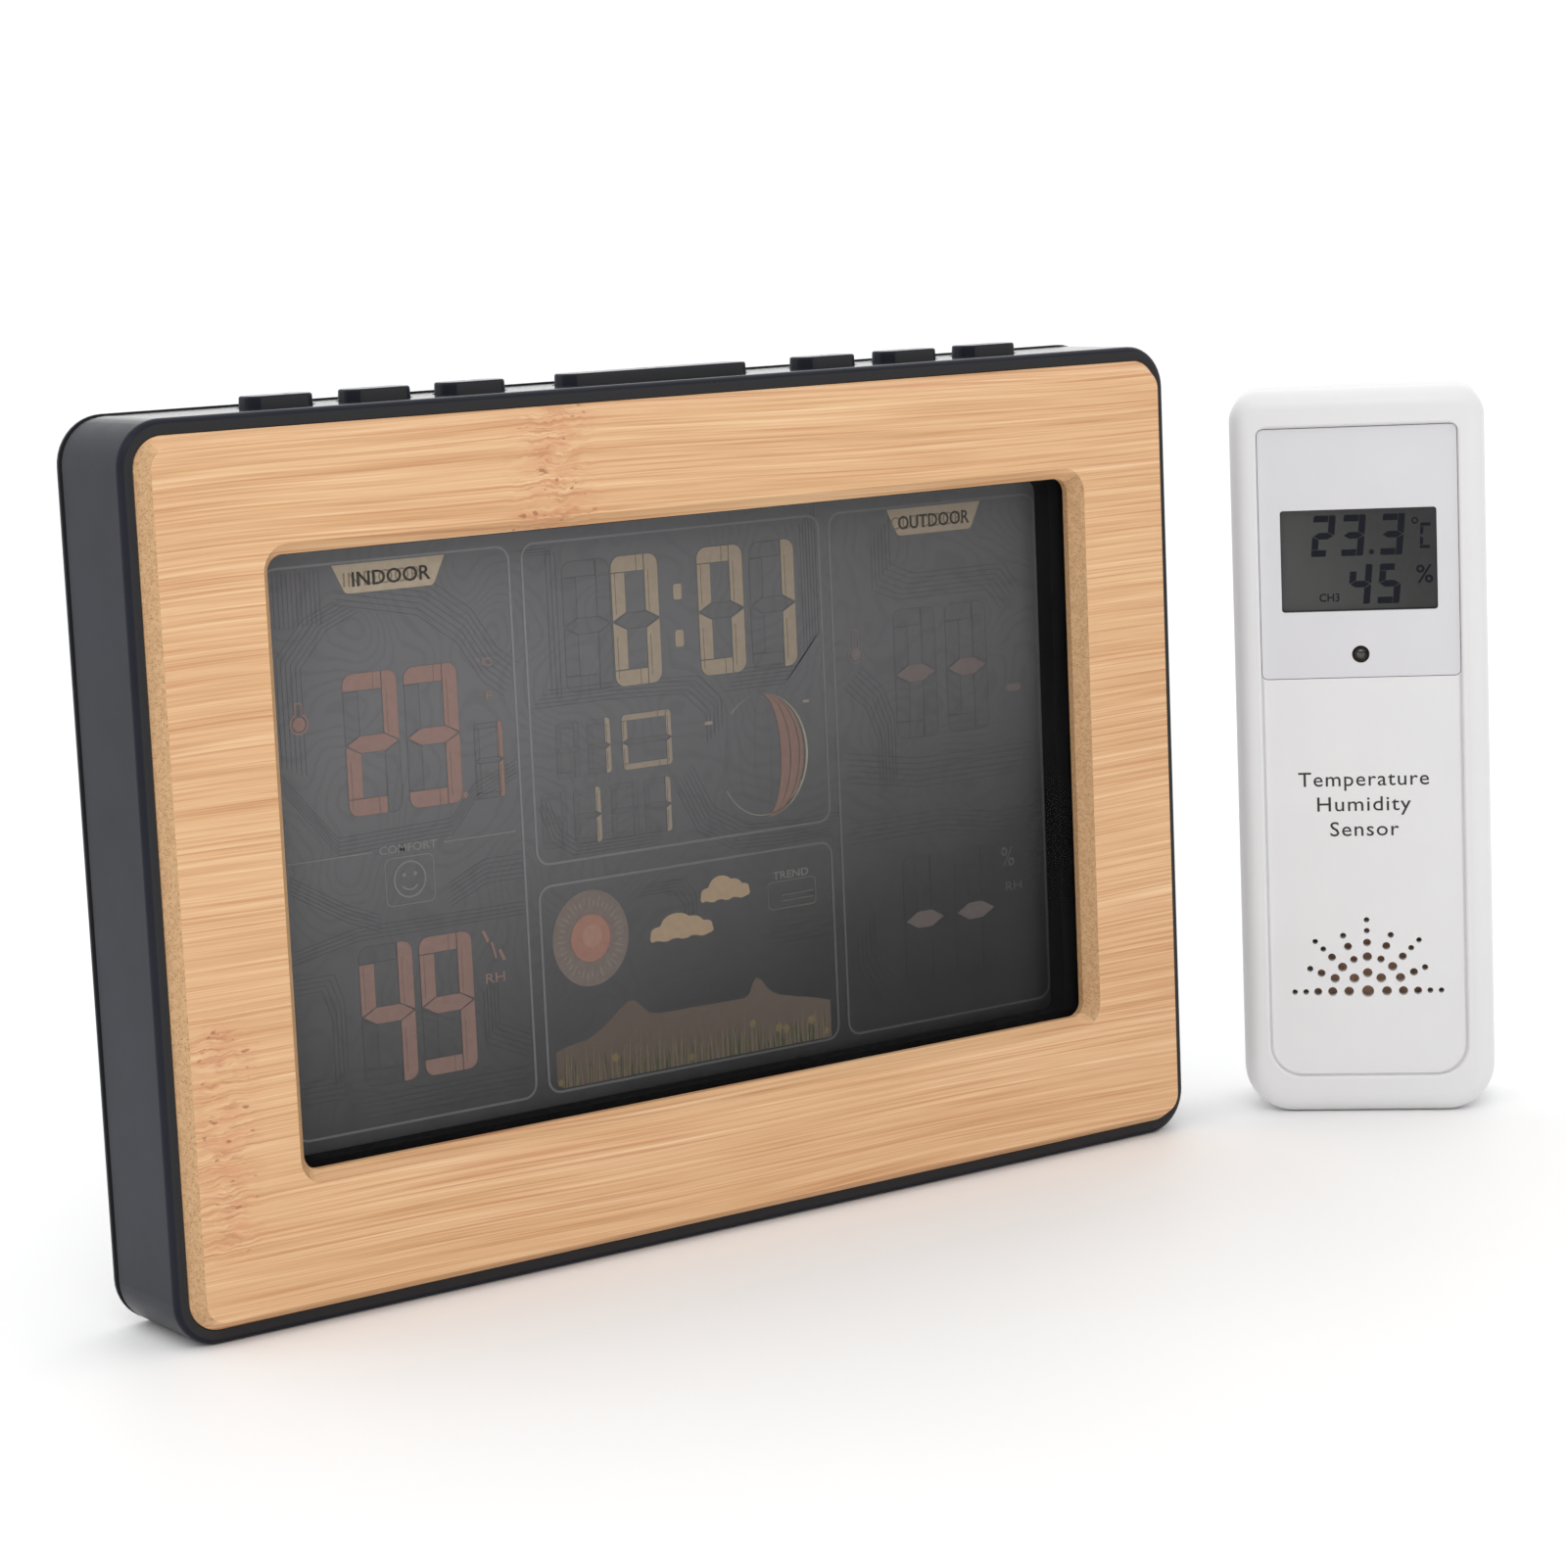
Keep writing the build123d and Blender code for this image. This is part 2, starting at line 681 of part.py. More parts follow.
def vent_points():
    """Air holes in a half fan: (angle, ring radius, hole radius)."""
    full_ray = [(3.05, 0.78), (5.7, 0.75), (8.05, 0.64), (10.0, 0.47), (11.8, 0.45)]
    points = [(0, 0, 0.97)]
    for i in range(9):
        angle = 22.5 * i
        if i % 2 == 0:
            points += [(angle, r, hole) for r, hole in full_ray]
            continue
        steep = i in (3, 5)
        points += [(angle, 5.7, 0.6 if steep else 0.75), (angle, 8.05, 0.64), (angle, 10.0, 0.5)]
    return points


def sensor_front_shell():
    shell = through(sensor_outline(0), sensor_front, sensor_seam)
    shell = fillet(front_edges(shell), sensor_round)
    shell -= through(panel_outline(0), sensor_front - 1, panel_y)
    face = shell.faces().sort_by(Axis.Y)[0]
    shell = fillet(face.inner_wires()[0].edges(), panel_round)
    shell -= through(panel_outline(0) - panel_outline(0.35), panel_y - 0.1, panel_y + 0.3)
    cavity = through(sensor_outline(sensor_wall), shell_inner_y, sensor_seam + 1)
    shell -= fillet(front_edges(cavity), 1.0)
    plate_z = plate_top_z - plate_height / 2
    shell -= layer(plate_width + 0.2, plate_height + 0.2, 1.0, panel_y - 1, panel_y + 1.0, z=plate_z)
    shell -= layer(27.0, 18.6, 0.8, -12, 0, z=sensor_lcd_z)
    shell -= rod_y(1.6, 0, led_z, -12, 0)
    for angle, ring, hole in vent_points():
        x = ring * cos(radians(angle))
        shell -= rod_y(hole, x, vent_z + ring * sin(radians(angle)), -12, 0)
    for side in (-1, 1):
        post = rod_y(2.6, side * sensor_screw_x, sensor_screw_z, shell_inner_y - 0.2, 7.2)
        shell += post - rod_y(1.0, side * sensor_screw_x, sensor_screw_z, -4, 8)
        for z in sensor_post_z:
            shell += rod_y(1.9, side * sensor_post_x, z, shell_inner_y - 0.2, sensor_board_y)
    for side in (-1, 1):
        for z in sensor_post_z:
            shell -= rod_y(0.65, side * sensor_post_x, z, shell_inner_y + 0.2, sensor_board_y + 1)
    return shell


def sensor_face_plate():
    plate_z = plate_top_z - plate_height / 2
    plate = layer(plate_width, plate_height, 0.9, panel_y + 0.15, panel_y + 0.95, z=plate_z)
    plate -= layer(sensor_lcd_width, sensor_lcd_height, 0.5, -12, 0, z=sensor_lcd_z)
    return plate - rod_y(1.4, 0, led_z, -12, 0)


def sensor_lcd():
    near = shell_inner_y + 0.05
    glass = layer(30.0, 21.0, 0, near, near + 0.6, z=sensor_lcd_z)
    return glass + layer(30.0, 17.6, 0, near + 0.6, near + 1.1, z=sensor_lcd_z + 1.7)


def sensor_led():
    dome = rod_y(1.25, 0, led_z, panel_y + 0.6, sensor_board_y)
    dome = fillet(front_edges(dome), 1.1)
    return dome


def sensor_board():
    board = layer(34.4, 93.0, 1.0, sensor_board_y, sensor_board_back, z=61.0)
    for side in (-1, 1):
        for z in sensor_post_z:
            board -= rod_y(0.9, side * sensor_post_x, z, -10, 0)
    return board


def sensor_board_screws():
    screws = []
    for side in (-1, 1):
        for z in sensor_post_z:
            screws.append(screw_y(side * sensor_post_x, z, sensor_board_back, 1.5, 1.0, 0.6, 2.2))
    return Compound(screws)


def sensor_probe():
    return layer(3.0, 3.0, 0.3, shell_inner_y + 0.3, sensor_board_y, x=6.0, z=38.0)


def sensor_chip():
    return layer(9.0, 9.0, 0.6, sensor_board_back, sensor_board_back + 1.0, x=0, z=92.0)


def sensor_antenna():
    y = sensor_board_back + 1.5
    path = FilletPolyline((-6.0, y, 103.0), (16.2, y, 103.0), (16.2, y, 64.0), radius=4.0)
    return sweep(Plane(origin=path @ 0, z_dir=path % 0) * Circle(0.4), path=path)


shelf_y = -0.8              # front face of the shelf that carries the sensor's two controls


def sensor_door_shape(grow, low):
    """The sensor's battery door plate with side tongues, widened by grow."""
    y0 = sensor_back - sensor_door_thick - grow
    y1 = sensor_back + (2 if grow else 0)
    top = sensor_door_top + grow
    plate = block(-sensor_door_half - grow, sensor_door_half + grow, y0, y1, low, top)
    tongue = sensor_door_half + 1.0
    return plate + block(-tongue - grow, tongue + grow, y0, y0 + 0.7 + 2 * grow, low, top)


def sensor_back_shell():
    shell = through(sensor_outline(0), sensor_seam + 0.3, sensor_back)
    shell = fillet(rear_edges(shell), 1.2)
    cavity = through(sensor_outline(sensor_wall), sensor_seam - 1, sensor_back - sensor_wall)
    bay_half_x = 2 * sensor_cell_x + 0.3
    tub = block(
        -bay_half_x - 1.2, bay_half_x + 1.2, -3.8, sensor_back,
        sensor_bay_low - 1.2, sensor_bay_high + 1.2,
    )
    shelf = block(
        -sensor_door_half + 0.4, sensor_door_half - 0.4, shelf_y, sensor_back,
        sensor_bay_high, sensor_door_top - 0.2,
    )
    frame = block(
        -sensor_door_half - 2.6, sensor_door_half + 2.6, sensor_back - sensor_door_thick - 1.5,
        sensor_back, 0, sensor_door_top + 1.5,
    )
    shell -= cavity - tub - shelf - frame
    shell += tub - block(-30, 30, sensor_seam + 0.3, 12, 0, 120)
    shell -= block(-bay_half_x, bay_half_x, -2.6, 12, sensor_bay_low, sensor_bay_high)
    shell -= block(
        -sensor_door_half + 1.6, sensor_door_half - 1.6, shelf_y + 1.2, 12,
        sensor_bay_high + 1.2, sensor_door_top - 1.4,
    )
    shell -= sensor_door_shape(0.2, -5)
    shell -= block(switch_x - 3.0, switch_x + 3.0, -5, 2, control_z - 1.0, control_z + 1.0)
    shell -= rod_y(1.9, 6.0, control_z, -5, 2)
    hook = (0, sensor_hook_z, sensor_hook_entry, sensor_hook_slot, sensor_hook_rise)
    hook_far = sensor_back - sensor_wall
    shell += hook_pocket(*hook, hook_far - 3.2, hook_far, pocket_wall)
    shell -= hook_pocket(*hook, hook_far - 3.2, hook_far, 0)
    shell -= through(Pos(0, sensor_hook_z) * keyhole(*hook[2:]), hook_far - 1, 12)
    for side in (-1, 1):
        shell -= rod_y(1.2, side * sensor_screw_x, sensor_screw_z, 5, 12)
        shell -= rod_y(2.3, side * sensor_screw_x, sensor_screw_z, sensor_back - 1.1, 12)
    for side in (-1, 1):
        for z in (20.0, 36.5, 53.0):
            x0, x1 = sorted((side * (sensor_width / 2 - 2.2), side * (sensor_width / 2 + 1)))
            shell -= block(x0, x1, 2.0, 7.0, z - 0.8, z + 0.8)
    return shell


def sensor_battery_door():
    door = sensor_door_shape(0, 0.5)
    low_edge = door.faces().sort_by(Axis.Z)[0].edges().filter_by(Axis.X).sort_by(Axis.Y)[-1]
    door = fillet(low_edge, 1.1)
    arrow = Pos(0, 70.0) * Rot(0, 0, -90) * RegularPolygon(2.6, 3)
    return door - through(arrow, sensor_back - 0.5, sensor_back + 1)


def sensor_case_screws():
    near = sensor_back - 1.1
    ends = (-sensor_screw_x, sensor_screw_x)
    return Compound([screw_y(x, sensor_screw_z, near, 2.0, 0.9, 0.95, 7.0) for x in ends])


def sensor_batteries():
    low = sensor_bay_low + 3.9
    cells = []
    for side in (-1, 1):
        tilt = -90 if side > 0 else 90
        start = low if side > 0 else low + cell_length
        cells.append(Pos(side * sensor_cell_x, sensor_cell_y, start) * Rot(0, tilt, 0) * dry_cell())
    return Compound(cells)


def sensor_contacts():
    """Strip contacts at both ends of the two cells: flat at plus, a sprung V at minus."""
    pieces = []
    for side in (-1, 1):
        x = side * sensor_cell_x
        for end in (-1, 1):
            z_wall = sensor_bay_low if end < 0 else sensor_bay_high
            z_plate = z_wall - end * 0.3
            piece = block(x - 3.4, x + 3.4, -1.8, 6.4, z_plate - 0.2, z_plate + 0.2)
            if end < 0:
                bend = Polyline((-0.6, z_plate), (sensor_cell_y, z_plate + 3.2), (6.2, z_plate))
                leaf = trace(bend, line_width=0.3)
                if side > 0:
                    piece += extrude(Plane.YZ.offset(x - 2.2) * leaf, amount=4.4)
                else:
                    piece += block(x - 1.4, x + 1.4, 1.5, 4.3, z_plate, z_plate + 3.3)
            pieces.append(piece)
    return Compound(pieces)


def channel_switch():
    body = block(switch_x - 5.0, switch_x + 5.0, sensor_board_back, -2.9, control_z - 2.0, control_z + 2.0)
    reach = channel_step + 1.0
    return body - block(switch_x - reach, switch_x + reach, -4.2, 0, control_z - 0.9, control_z + 0.9)


def channel_knob():
    """The three-way switch's knob, set to channel 3, the end nearest the button."""
    x = switch_x + channel_step
    knob = block(x - 0.8, x + 0.8, -4.0, 1.9, control_z - 0.75, control_z + 0.75)
    return knob + block(x - 1.3, x + 1.3, 1.0, 1.9, control_z - 0.75, control_z + 0.75)


def transmit_switch():
    body = block(3.7, 8.3, sensor_board_back, -3.4, control_z - 2.3, control_z + 2.3)
    return body + rod_y(1.0, 6.0, control_z, -3.4, -2.9)


def transmit_button():
    cap = rod_y(1.65, 6.0, control_z, shelf_y - 0.2, 1.5)
    cap = fillet(rear_edges(cap), 0.3)
    return cap + rod_y(2.5, 6.0, control_z, shelf_y - 1.0, shelf_y - 0.15) + rod_y(
        0.9, 6.0, control_z, -2.2, shelf_y - 1.0,
    )


# ---------------------------------------------------------------- write every piece
console_parts = {
    "front_housing": front_housing,
    "wood_frame": wood_frame,
    "display_lens": display_lens,
    "lcd_panel": lcd_panel,
    "lcd_holder": lcd_holder,
    "light_guide": light_guide,
    "backlight_strip": backlight_strip,
    "zebra_strips": zebra_strips,
    "holder_screws": holder_screws,
    "main_board": main_board,
    "board_screws": board_screws,
    "controller_chip": controller_chip,
    "rf_module": rf_module,
    "antenna_wire": antenna_wire,
    "buzzer": buzzer,
    "indoor_probe": indoor_probe,
    "usb_inlet": usb_inlet,
    "button_board": button_board,
    "tact_switches": tact_switches,
    "button_board_screws": button_board_screws,
    "button_ribbon": button_ribbon,
    "back_cover": back_cover,
    "cover_screws": cover_screws,
    "battery_door": battery_door,
    "console_batteries": console_batteries,
    "battery_contacts": battery_contacts,
    "fold_out_stand": fold_out_stand,
    "stand_pins": stand_pins,
}
sensor_parts = {
    "sensor_front_shell": sensor_front_shell,
    "sensor_face_plate": sensor_face_plate,
    "sensor_lcd": sensor_lcd,
    "sensor_led": sensor_led,
    "sensor_board": sensor_board,
    "sensor_board_screws": sensor_board_screws,
    "sensor_probe": sensor_probe,
    "sensor_chip": sensor_chip,
    "sensor_antenna": sensor_antenna,
    "sensor_back_shell": sensor_back_shell,
    "sensor_battery_door": sensor_battery_door,
    "sensor_case_screws": sensor_case_screws,
    "sensor_batteries": sensor_batteries,
    "sensor_contacts": sensor_contacts,
    "channel_switch": channel_switch,
    "channel_knob": channel_knob,
    "transmit_switch": transmit_switch,
    "transmit_button": transmit_button,
}
button_names = [
    "button_left_outer", "button_left_middle", "button_left_inner", "button_snooze",
    "button_right_inner", "button_right_middle", "button_right_outer",
]

for name, make in console_parts.items():
    export_step(make(), f"parts/{name}.step")
for name, x, width in zip(button_names, button_centres(), button_widths()):
    export_step(button(x, width), f"parts/{name}.step")
sensor_place = Pos(sensor_x, sensor_y, 0) * Rot(0, 0, sensor_turn)
for name, make in sensor_parts.items():
    export_step(sensor_place * make(), f"parts/{name}.step")
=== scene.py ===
"""Looks of the home weather station and its outdoor sensor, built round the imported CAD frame."""

import json
import math
import random

import bmesh
import bpy
from mathutils import Matrix, Vector


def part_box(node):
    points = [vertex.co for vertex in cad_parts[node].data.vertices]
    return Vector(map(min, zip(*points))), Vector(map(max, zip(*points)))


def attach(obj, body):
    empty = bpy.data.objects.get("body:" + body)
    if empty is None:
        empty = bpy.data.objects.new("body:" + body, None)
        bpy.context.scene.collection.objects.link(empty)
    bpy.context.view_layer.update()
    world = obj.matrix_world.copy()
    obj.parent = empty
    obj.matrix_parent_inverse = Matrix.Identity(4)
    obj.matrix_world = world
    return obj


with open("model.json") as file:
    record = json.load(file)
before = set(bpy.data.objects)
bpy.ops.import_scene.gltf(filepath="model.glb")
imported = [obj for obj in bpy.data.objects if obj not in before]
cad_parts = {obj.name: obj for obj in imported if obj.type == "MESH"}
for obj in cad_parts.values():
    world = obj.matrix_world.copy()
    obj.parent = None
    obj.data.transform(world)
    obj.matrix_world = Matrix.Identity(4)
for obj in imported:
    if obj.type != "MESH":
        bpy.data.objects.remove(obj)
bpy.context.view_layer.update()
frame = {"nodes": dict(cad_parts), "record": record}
mounts = {mount["name"]: mount for mount in frame["record"]["mounts"]}
joints = {joint["name"]: joint for joint in frame["record"]["behaviour"]["joints"]}
MM = 0.001


# ------------------------------------------------------------------ the photograph's viewing angle
VIEW_AZIMUTH = math.radians(35.27)
VIEW_ELEVATION = math.radians(8.44)
VIEW_ROLL = math.radians(-2.5)
VIEW_DISTANCE = 0.5704
VIEW_TARGET = Vector((0.0096, -0.0161, 0.0668))
LENS_MM = 89.2


def add_camera():
    camera = bpy.data.objects.new("camera", bpy.data.cameras.new("camera"))
    bpy.context.collection.objects.link(camera)
    camera.data.lens = LENS_MM
    camera.data.sensor_width = 36.0
    forward = Vector((
        math.sin(VIEW_AZIMUTH) * math.cos(VIEW_ELEVATION),
        math.cos(VIEW_AZIMUTH) * math.cos(VIEW_ELEVATION),
        -math.sin(VIEW_ELEVATION),
    ))
    look = forward.to_track_quat("-Z", "Y").to_matrix().to_4x4()
    place = Matrix.Translation(VIEW_TARGET - forward * VIEW_DISTANCE)
    camera.matrix_world = place @ look @ Matrix.Rotation(VIEW_ROLL, 4, "Z")
    bpy.context.scene.camera = camera


add_camera()


# ------------------------------------------------------------------ material recipes
class Recipe:
    """A node material under construction. Textures work in millimetres of the shared frame."""

    def __init__(self, name):
        self.material = bpy.data.materials.new(name)
        self.material.use_nodes = True
        self.tree = self.material.node_tree
        self.shader = self.tree.nodes["Principled BSDF"]
        coords = self.add("ShaderNodeTexCoord")
        self.mm = self.add(
            "ShaderNodeVectorMath", {"Vector": coords.outputs["Object"], "Scale": 1 / MM}, operation="SCALE",
        ).outputs["Vector"]

    def add(self, kind, values=None, **settings):
        """A new node; values are numbers, colours or another node's output."""
        node = self.tree.nodes.new(kind)
        for key, value in settings.items():
            setattr(node, key, value)
        for socket, value in (values or {}).items():
            self.feed(node.inputs[socket], value)
        return node

    def feed(self, socket, value):
        if isinstance(value, bpy.types.NodeSocket):
            self.tree.links.new(value, socket)
        else:
            socket.default_value = value

    def set(self, **values):
        """Sets the shader's own sockets, with _ for a space in their names."""
        for name, value in values.items():
            self.feed(self.shader.inputs[name.replace("_", " ")], value)

    def math(self, operation, a, b=0.0, c=0.0, clamp=False):
        return self.add("ShaderNodeMath", {0: a, 1: b, 2: c}, operation=operation, use_clamp=clamp).outputs[0]

    def axes(self):
        """The three coordinates in millimetres."""
        split = self.add("ShaderNodeSeparateXYZ", {0: self.mm})
        return split.outputs[0], split.outputs[1], split.outputs[2]

    def noise(self, scale, detail=3.0, stretch=(1, 1, 1), roughness=0.55):
        """Noise of the given features per millimetre, stretched along each axis."""
        where = self.add("ShaderNodeVectorMath", {0: self.mm, 1: stretch}, operation="MULTIPLY").outputs[0]
        settings = {"Vector": where, "Scale": scale, "Detail": detail, "Roughness": roughness}
        node = self.add("ShaderNodeTexNoise", settings)
        return node.outputs["Fac"]

    def ramp(self, factor, stops):
        """Colour or grey stops along a factor."""
        node = self.add("ShaderNodeValToRGB", {0: factor})
        ramp = node.color_ramp
        while len(ramp.elements) < len(stops):
            ramp.elements.new(0.5)
        for element, (position, colour) in zip(ramp.elements, stops):
            element.position = position
            element.color = (*colour, 1.0) if isinstance(colour, tuple) else (colour, colour, colour, 1.0)
        return node.outputs["Color"]

    def mix(self, factor, a, b):
        node = self.add("ShaderNodeMix", data_type="RGBA")
        self.feed(node.inputs[0], factor)
        for socket, value in ((node.inputs[6], a), (node.inputs[7], b)):
            self.feed(socket, (*value, 1.0) if isinstance(value, tuple) else value)
        return node.outputs[2]

    def step(self, value, low, high):
        """0 below low, 1 above high, smooth between."""
        node = self.add(
            "ShaderNodeMapRange", {"Value": value, "From Min": low, "From Max": high},
            interpolation_type="SMOOTHSTEP",
        )
        return node.outputs["Result"]

    def between(self, value, low, high, edge=0.2):
        """1 from low to high and 0 outside, soft over the edge."""
        return self.math("MULTIPLY", self.step(value, low - edge, low), self.math(
            "SUBTRACT", 1.0, self.step(value, high, high + edge)))

    def bump(self, height, depth_mm, strength):
        node = self.add("ShaderNodeBump", {"Height": height, "Distance": depth_mm * MM, "Strength": strength})
        self.set(Normal=node.outputs["Normal"])


def moulded_plastic(name, colour, shift, rough, grain_per_mm=2.4, grain_depth=0.012, specular=0.5):
    """Spark-eroded plastic: fine grain, slow colour drift and slightly uneven gloss."""
    paint = Recipe(name)
    drift = paint.noise(0.06, 3.0)
    darker = tuple(c * (1 - shift) for c in colour)
    lighter = tuple(min(1.0, c * (1 + shift)) for c in colour)
    paint.set(Base_Color=paint.ramp(drift, [(0.3, darker), (0.7, lighter)]))
    grain = paint.noise(grain_per_mm, 4.0, roughness=0.7)
    spread = paint.noise(0.25, 3.0)
    gloss = paint.math("MULTIPLY_ADD", spread, 0.12, rough - 0.06)
    paint.set(Roughness=gloss, Specular_IOR_Level=specular)
    paint.bump(grain, grain_depth, 0.6)
    return paint


FACING = (0.9, 0.98)    # cosines between which a face starts to count as pointing along an axis


def facing(recipe, axis):
    """1 on the faces that point along the axis, 0 on the others."""
    normal = recipe.add("ShaderNodeNewGeometry").outputs["True Normal"]
    along = recipe.add("ShaderNodeVectorMath", {0: normal, 1: axis}, operation="DOT_PRODUCT").outputs["Value"]
    return recipe.step(along, *FACING)


CHARCOAL = (0.0148, 0.0160, 0.0245)
CASE_FRONT_PAINTED_LIGHT = (0.031, 0.031, 0.034)      # painted light: faces that point forward, painted a shade lighter
# painted light: the buttons' faces that point forward, painted a shade lighter
BUTTON_FRONT_PAINTED_LIGHT = (0.045, 0.045, 0.048)
TOP_SMOOTHING = 0.55                    # share of their roughness that faces pointing up lose


def charcoal(name="charcoal_abs", rough=0.3, front=CASE_FRONT_PAINTED_LIGHT):
    """Charcoal plastic, with painted light that makes faces pointing forward a shade lighter, and smoother on
    faces that point up.
    """
    paint = moulded_plastic(name, CHARCOAL, 0.15, rough, 2.2, 0.01, 0.12)
    plain = paint.shader.inputs["Base Color"].links[0].from_socket
    gloss = paint.shader.inputs["Roughness"].links[0].from_socket
    smoother = paint.math("MULTIPLY_ADD", facing(paint, (0, 0, 1)), -TOP_SMOOTHING, 1.0)
    # painted light: faces that point forward take the lighter front colour
    paint.set(
        Base_Color=paint.mix(facing(paint, (0, -1, 0)), plain, front),
        Roughness=paint.math("MULTIPLY", gloss, smoother),
    )
    return paint


def charcoal_housing():
    """The deep case: charcoal outside, with the plate behind the lens left matt black."""
    paint = charcoal("charcoal_housing")
    low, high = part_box("display_lens")
    x, _, z = paint.axes()
    behind = paint.math("MULTIPLY", paint.between(x, low[0] / MM, high[0] / MM), paint.between(
        z, low[2] / MM, high[2] / MM))
    outer = paint.shader.inputs["Base Color"].links[0].from_socket
    paint.set(Base_Color=paint.mix(behind, outer, (0.0015, 0.0015, 0.0018)))
    gloss = paint.shader.inputs["Roughness"].links[0].from_socket
    paint.set(Roughness=paint.math("MAXIMUM", gloss, paint.math("MULTIPLY", behind, 0.9)))
    return paint


# bamboo nodes: x centre, half length, and the z range that each crosses, in mm
BAMBOO_NODES = [(-25.0, 9.0, 106.0, 130.0), (-83.0, 6.5, 15.0, 43.0)]


def bamboo():
    """Side-pressed bamboo: straight fibres along X, joint marks, and open end grain at the side bevels."""
    wood = Recipe("bamboo")
    x, _, z = wood.axes()
    zone = None
    for centre, half, low, high in BAMBOO_NODES:
        near_x = wood.math("SUBTRACT", 1.0, wood.math(
            "DIVIDE", wood.math("ABSOLUTE", wood.math("SUBTRACT", x, centre)), half), clamp=True)
        part = wood.math("MULTIPLY", near_x, wood.between(z, low, high, 4.0))
        zone = part if zone is None else wood.math("MAXIMUM", zone, part)
    drift = wood.math("SUBTRACT", wood.noise(0.016, 0.0, (1, 1, 1.4)), 0.5)
    curl = wood.math("MULTIPLY", wood.math("SUBTRACT", wood.noise(0.4, 3.0, (0.6, 1, 1)), 0.5), zone)
    push = wood.math("MULTIPLY_ADD", drift, 4.0, wood.math("MULTIPLY", curl, 3.0))
    fibre_place = wood.add("ShaderNodeCombineXYZ", {0: x, 1: 0.0, 2: wood.math("ADD", z, push)}).outputs[0]

    def fibres(per_mm, along, detail):
        where = wood.add(
            "ShaderNodeVectorMath", {0: fibre_place, 1: (along, 1.0, per_mm)}, operation="MULTIPLY",
        ).outputs[0]
        settings = {"Vector": where, "Scale": 1.0, "Detail": detail, "Roughness": 0.6}
        node = wood.add("ShaderNodeTexNoise", settings)
        return node.outputs["Fac"]

    bands = fibres(0.22, 0.004, 2.0)
    lines = fibres(1.5, 0.012, 3.0)
    fine = fibres(3.2, 0.03, 3.0)
    tone = wood.math("MULTIPLY_ADD", bands, 0.17, wood.math("MULTIPLY_ADD", lines, 0.41, wood.math(
        "MULTIPLY", fine, 0.42)))
    face = wood.ramp(tone, [
        (0.36, (0.58, 0.29, 0.135)), (0.44, (0.70, 0.40, 0.20)), (0.50, (0.775, 0.465, 0.245)),
        (0.56, (0.83, 0.53, 0.295)), (0.65, (0.91, 0.64, 0.385)),
    ])
    streaks = wood.step(fibres(2.4, 0.016, 1.0), 0.54, 0.70)
    face = wood.mix(wood.math("MULTIPLY", streaks, 0.65), face, (0.60, 0.27, 0.13))
    blush = wood.math("MULTIPLY", wood.step(wood.noise(0.4, 3.0, (0.5, 1, 1)), 0.42, 0.58), zone)
    face = wood.mix(wood.math("MULTIPLY", blush, 0.45), face, (0.68, 0.30, 0.165))
    dashes = wood.math("MULTIPLY", wood.step(fibres(2.0, 0.2, 2.0), 0.52, 0.62), zone)
    face = wood.mix(wood.math("MULTIPLY", dashes, 0.5), face, (0.46, 0.19, 0.085))
    pale = wood.math("MULTIPLY", wood.step(fibres(0.9, 0.12, 2.0), 0.58, 0.7), zone)
    face = wood.mix(wood.math("MULTIPLY", pale, 0.6), face, (0.90, 0.66, 0.40))
    specks = wood.step(wood.noise(0.9, 1.0, (0.6, 1, 1)), 0.68, 0.74)
    pores = wood.math("MULTIPLY", specks, wood.step(zone, 0.1, 0.4))
    face = wood.mix(wood.math("MULTIPLY", pores, 0.7), face, (0.33, 0.13, 0.065))

    normal = wood.add("ShaderNodeNewGeometry").outputs["True Normal"]
    side = wood.math("ABSOLUTE", wood.add("ShaderNodeSeparateXYZ", {0: normal}).outputs[0])
    end = wood.step(side, 0.42, 0.6)
    speck = wood.add("ShaderNodeTexVoronoi", {"Vector": wood.mm, "Scale": 2.7, "Randomness": 1.0})
    dots = wood.math("SUBTRACT", 1.0, wood.step(speck.outputs["Distance"], 0.18, 0.4))
    tint = wood.ramp(wood.noise(1.6, 2.0), [(0.35, (0.53, 0.315, 0.155)), (0.65, (0.63, 0.39, 0.20))])
    ends = wood.mix(wood.math("MULTIPLY", dots, 0.6), tint, (0.30, 0.145, 0.065))
    wood.set(Base_Color=wood.mix(end, face, ends))
    wood.set(Roughness=wood.ramp(lines, [(0.35, 0.52), (0.65, 0.42)]), Specular_IOR_Level=0.35)
    relief = wood.math("MULTIPLY_ADD", lines, 0.5, wood.math("MULTIPLY", fine, 0.5))
    relief = wood.math("SUBTRACT", relief, wood.math("MULTIPLY", wood.math("MULTIPLY", dots, end), 0.8))
    wood.bump(relief, 0.04, 0.5)
    return wood


CASE_LOW, CASE_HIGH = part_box("front_housing")
LCD_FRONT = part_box("lcd_panel")[0][1] / MM
LCD_MID = (CASE_LOW[2] + CASE_HIGH[2]) / 2 / MM         # height of the artwork's v = 0 line


# where the painted reflection and the ink's painted shade fall across the display, along x and z, in mm
REFLECTION_ACROSS = (-70.0, 90.0)
REFLECTION_UP = (12.0, 92.0)
# painted shade on the display's ink: where it darkens, along x and z
INK_SHADE_ACROSS = (-60.0, 75.0)
INK_SHADE_UP = (20.0, 105.0)


def painted_reflection(recipe):
    """A painted reflection over the display: brightest at its upper left, falling off towards its lower
    right.
    """
    x, _, z = recipe.axes()
    # painted reflection: the left and upper parts of the display are painted lighter
    left = recipe.math("SUBTRACT", 1.0, recipe.step(x, *REFLECTION_ACROSS))
    up = recipe.step(z, *REFLECTION_UP)
    reflection_level = recipe.math("MULTIPLY_ADD", left, 0.42, recipe.math("MULTIPLY", up, 0.58))
    return recipe.math("MULTIPLY_ADD", recipe.noise(0.05, 2.0), 0.1, reflection_level)


